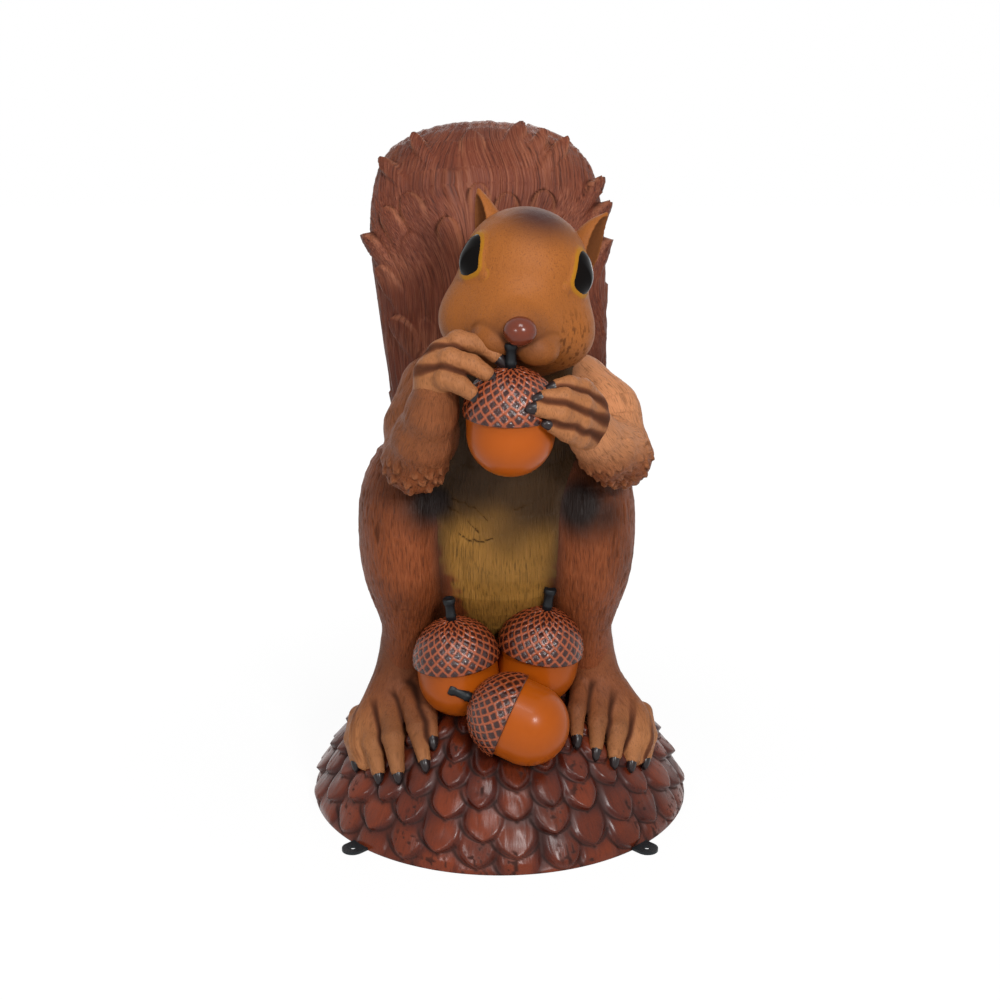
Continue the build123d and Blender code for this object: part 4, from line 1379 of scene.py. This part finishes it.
# Round the mound and down it, in millimetres
flow = np.stack([turn.ravel() * 340, np.zeros(turn.size), reach.ravel()], 1)
streak = ridges(flow / (9, 9, 55) + noise(flow / 40, 12)[:, None] * 1.5, 6).reshape(shape)
rumple = noise(flow / (34, 9, 30), 14).reshape(shape)
lift = (height - scale_level + 0.8 * (streak - 0.5) + 4 * (rumple - 0.5)) * fade
outer = mound_point(reach, turn, lift)
inner = mound_point(reach, turn, -mound_wall)[::inner_every]
inner[-1] = mound_point(reach, turn, -foot_wall)[-1]
outer[-1, :, 2] = inner[-1, :, 2] = 0
mound_points = np.concatenate([outer, inner]).reshape(-1, 3)
index, beside, skin = rings_of(len(outer) + len(inner), around)
last, first_inner = len(outer) - 1, len(outer)
outer_skin = skin[:last].reshape(-1, 4)
inner_skin = skin[first_inner:].reshape(-1, 4)[:, ::-1]
lip = np.stack([index[last], index[-1], beside[-1], beside[last]], -1)
crown_lip = np.stack([index[0], beside[0], beside[first_inner], index[first_inner]], -1)
specks = ease(0.62, 0.75, noise(flow / (5, 9, 7), 17)) * ease(0.5, 0.65, noise(flow / 45, 18))
# Painted shadow under the scales' tips and painted shade low between them, with dark specks on the crests
deep = np.maximum(gap * 0.85, ease(7, 1, height) * 0.6)
deep = np.maximum(deep, specks.reshape(shape) * crest * 0.8)
tone = np.clip(crest * (0.25 + 0.75 * wash) + 0.3 * ease(60, 0, from_rim) + 0.5 * (rumple - 0.5), 0, 1)
# The inner skin is plain and dark.
extra = np.zeros(inner.shape[:2])
layers = {
    "tone": np.concatenate([tone, extra]).ravel(),
    "groove": np.concatenate([deep, extra + 1]).ravel(),
    "strand": np.concatenate([flow, inner.reshape(-1, 3)]),
}
mound_quads = np.concatenate([outer_skin, inner_skin, lip, crown_lip])
make_piece("pinecone_mound", mound_points, mound_quads, cone_paint, ["base_dome"], layers)


# Acorns
def turned(profile, around):
    """A closed turned form from (radius, height) pairs that start and end on the axis."""
    profile = np.asarray(profile, float)
    angles = np.arange(around) / around * 2 * pi
    points = np.stack([profile[:, :1] * np.cos(angles), profile[:, :1] * np.sin(angles),
                       np.repeat(profile[:, 1:], around, 1)], -1)
    return points.reshape(-1, 3), outside_in(rings_of(len(profile), around)[2])


def nut_mesh():
    """The nut: a ball-ended body up to the cap's rim."""
    turn = np.linspace(0, pi / 2, 30)
    profile = [(nut_radius * sin(t) + 0.05, nut_radius - nut_length - nut_radius * cos(t)) for t in turn]
    profile += [(nut_radius, h) for h in np.linspace(nut_radius - nut_length, 0, 10)[1:]]
    profile += [(nut_radius * s, 10.0 + 12 * (1 - s)) for s in (0.9, 0.6, 0.3, 0.001)]
    return turned(profile, 96)


def cap_mesh():
    """The cap: rows of rounded diamond scales in a raised net, over a rolled rim."""
    centre = (cap_height ** 2 - cap_radius ** 2) / (2 * cap_height)
    ball_radius = cap_height - centre
    lowest = np.arccos((-cap_lip - centre) / ball_radius)
    around = 288
    turn = np.linspace(0.004, lowest, 84)
    angles = np.arange(around) / around * 2 * pi
    t, g = np.meshgrid(turn, angles, indexing="ij")
    rows = t * ball_radius / cap_row_height
    # Fewer scales to a row near the stem
    columns = np.where(rows > 3.4, 22, np.where(rows > 1.6, 16, 8))
    u = g / (2 * pi) * columns
    best = np.full(t.shape, 9.0)
    second = np.full(t.shape, 9.0)
    down = np.zeros(t.shape)
    for offset in (-1, 0, 1, 2):
        row = np.floor(rows) + offset
        shift = 0.5 * (row % 2)
        column = np.round(u - shift)
        cell = np.stack([row, column % columns, columns], -1).reshape(-1, 3)
        drift = (cell_value(cell, 61).reshape(t.shape) - 0.5) * 0.3
        du = np.abs(u - shift - column + drift * 0.6)
        dv = np.abs(rows - row + drift)
        away = ((2 * du) ** 1.7 + dv ** 1.7) ** (1 / 1.7)
        second = np.minimum(second, np.maximum(best, away))
        down = np.where(away < best, rows - row, down)
        best = np.minimum(best, away)
    edge = ease(0.5, 0.22, second - best)
    # In millimetres: the raised net, each scale's bulge, and its tilt towards the rim
    lift = 1.9 * edge + 2.2 * (1 - np.clip(best / 0.75, 0, 1) ** 2) + 1.2 * down * (1 - edge) - 1.6
    lift *= ease(0.0, 0.12, t)
    rim = ease(lowest - 0.05, lowest - 0.01, t)
    lift = lift * (1 - rim) + 0.5 * rim
    radius = ball_radius - 1.5 + lift
    from_axis = radius * np.sin(t)
    top = np.stack([from_axis * np.cos(g), from_axis * np.sin(g), centre + radius * np.cos(t)], -1)
    # The hollow that sits on the nut
    hollow = ((nut_radius - 1, -cap_lip - 1.0), (nut_radius - 2, -4.0), (nut_radius * 0.5, 16.0), (0.05, 20.0))
    under = [np.stack([r * np.cos(angles), r * np.sin(angles), np.full(around, h)], -1) for r, h in hollow]
    points = np.concatenate([top, np.array(under)], 0)
    quads = rings_of(len(points), around)[2].reshape(-1, 4)
    extra = np.zeros((len(under), around))
    # The copper net, and painted shade in the trough round each scale
    tone = np.concatenate([edge * 0.95 * (1 - rim * 0.3), extra], 0).ravel()
    groove = np.concatenate([ease(0.55, 0.85, best) * (1 - edge) * 0.4, extra + 1], 0).ravel()
    return points.reshape(-1, 3), quads, tone, groove


def stem_mesh():
    """A turned black peg with a flared end and two rings."""
    base = cap_height - cap_lip
    outline = [(0.05, 0), (9, 0), (9, 16), (10.2, 18), (9.0, 21), (8.6, 30), (8.8, 38), (10.6, 42),
               (11.4, 45), (11.4, 50), (10.2, 52), (7, 52.0), (6, 50.5), (0.05, 50)]
    profile = [(r, base + h) for r, h in outline]
    return turned(profile, 32)


def acorn_frame(lean):
    """Three directions for an acorn whose stem points along lean."""
    heading = unit(np.array(lean, float))
    across = np.array([1.0, 0, 0]) if abs(heading[0]) < abs(heading[2]) else np.array([0, 0, -1.0])
    across = unit(across - heading * (across @ heading))
    return np.stack([across, np.cross(heading, across), heading])


nut_form = nut_mesh()
cap_points, cap_quads, cap_tone, cap_groove = cap_mesh()
stem_form = stem_mesh()
cap_layers = {"tone": cap_tone, "groove": cap_groove, "strand": cap_points}
for name, (rim, lean) in acorn_places.items():
    turn = acorn_frame(lean)
    for part, ending, points, quads, paint, layers in (
        ("nut", "shell", *nut_form, nut_paint, None),
        ("cap", "scales", cap_points, cap_quads, cap_paint, cap_layers),
        ("stem", "peg", *stem_form, stem_paint, None),
    ):
        node = f"acorn_{name}_{part}"
        make_piece(f"{node}_{ending}", points @ turn + rim, quads, paint, [node], layers)

# CAD pieces that stay
kept = {
    "fixing_bar_long": bar_paint, "fixing_bar_short_left": bar_paint, "fixing_bar_short_right": bar_paint,
    "base_board": plywood, "bulkhead_hip": plywood, "bulkhead_shoulder": plywood, "tail_bulkhead": plywood,
    "bar_screws": screw_zinc, "plate_screws": screw_zinc, "acorn_studs": screw_zinc,
    "post_foot_plate": inner_paint, "post_gussets": inner_paint, "spine_post": inner_paint,
    "tail_arm": inner_paint,
}
for name, material in kept.items():
    piece = cad_nodes[name]
    if not piece.material_slots:
        piece.data.materials.append(material)
    for place in piece.material_slots:
        place.material = material


# Floor and light. The camera and the glosses see plain white around the part, but that white sheds little
# light on it, so that the four lamps shape it.
def seen_rays(tree):
    """1 for what is seen straight, in a gloss or through the material, 0 for scattered light."""
    rays = add(tree, "ShaderNodeLightPath")
    seen = add(tree, "ShaderNodeMath", {"operation": "MAXIMUM"},
               {0: rays.outputs["Is Camera Ray"], 1: rays.outputs["Is Glossy Ray"]})
    seen = add(tree, "ShaderNodeMath", {"operation": "MAXIMUM"},
               {0: seen.outputs[0], 1: rays.outputs["Is Transmission Ray"]})
    return seen.outputs[0]


floor_mesh = bpy.data.meshes.new("floor")
floor_mesh.from_pydata([(-9, -9, 0), (9, -9, 0), (9, 9, 0), (-9, 9, 0)], [], [(0, 1, 2, 3)])
floor = put("floor", floor_mesh)
floor_material, tree, shader = new_material("floor_pale_paper")
shader.inputs["Base Color"].default_value = linear("#f4f4f4")
shader.inputs["Roughness"].default_value = 0.9
glow = add(tree, "ShaderNodeEmission", {"Color": (1, 1, 1, 1), "Strength": 1.03})
place = add(tree, "ShaderNodeTexCoord")
away = add(tree, "ShaderNodeVectorMath", {"operation": "LENGTH"}, {0: place.outputs["Object"]})
white = add(tree, "ShaderNodeMapRange", {"From Min": 0.5, "From Max": 1.5, "To Min": 0.9, "To Max": 1.0},
            {"Value": away.outputs["Value"]})
pick = add(tree, "ShaderNodeMath", {"operation": "MULTIPLY"}, {0: seen_rays(tree), 1: white.outputs[0]})
both = add(tree, "ShaderNodeMixShader", None, {0: pick.outputs[0], 1: shader.outputs[0], 2: glow.outputs[0]})
output = [n for n in tree.nodes if n.type == "OUTPUT_MATERIAL"][0]
tree.links.new(both.outputs[0], output.inputs[0])
floor_mesh.materials.append(floor_material)

sky_share = 0.17
world = bpy.data.worlds.new("studio")
bpy.context.scene.world = world
world.use_nodes = True
tree = world.node_tree
tree.nodes.clear()
level = add(tree, "ShaderNodeMix", {"data_type": "FLOAT", 2: sky_share, 3: 1.0}, {0: seen_rays(tree)})
sky = add(tree, "ShaderNodeBackground", {"Color": (1, 1, 1, 1)}, {"Strength": level.outputs[0]})
add(tree, "ShaderNodeOutputWorld", None, {"Surface": sky.outputs[0]})


def lamp(name, place, aim, size, power):
    """A soft square lamp aimed at a point. Lengths are in metres and the power is in watts."""
    data = bpy.data.lights.new(name, "AREA")
    data.size = size
    data.energy = power
    light = put(name, data)
    light.location = place
    light.rotation_mode = "QUATERNION"
    light.rotation_quaternion = (Vector(aim) - Vector(place)).to_track_quat("-Z", "Y")


lamp("right_softbox", place=(1.1, -2.8, 2.1), aim=(0, 0, 0.6), size=0.6, power=56)
lamp("left_softbox", place=(-1.3, -2.8, 1.7), aim=(0, 0, 0.6), size=0.6, power=20)
lamp("top_softbox", place=(0.2, -1.8, 3.2), aim=(0, 0, 0.7), size=0.9, power=36)
lamp("back_softbox", place=(0.0, 3.0, 1.5), aim=(0, 0, 0.7), size=2.0, power=26)
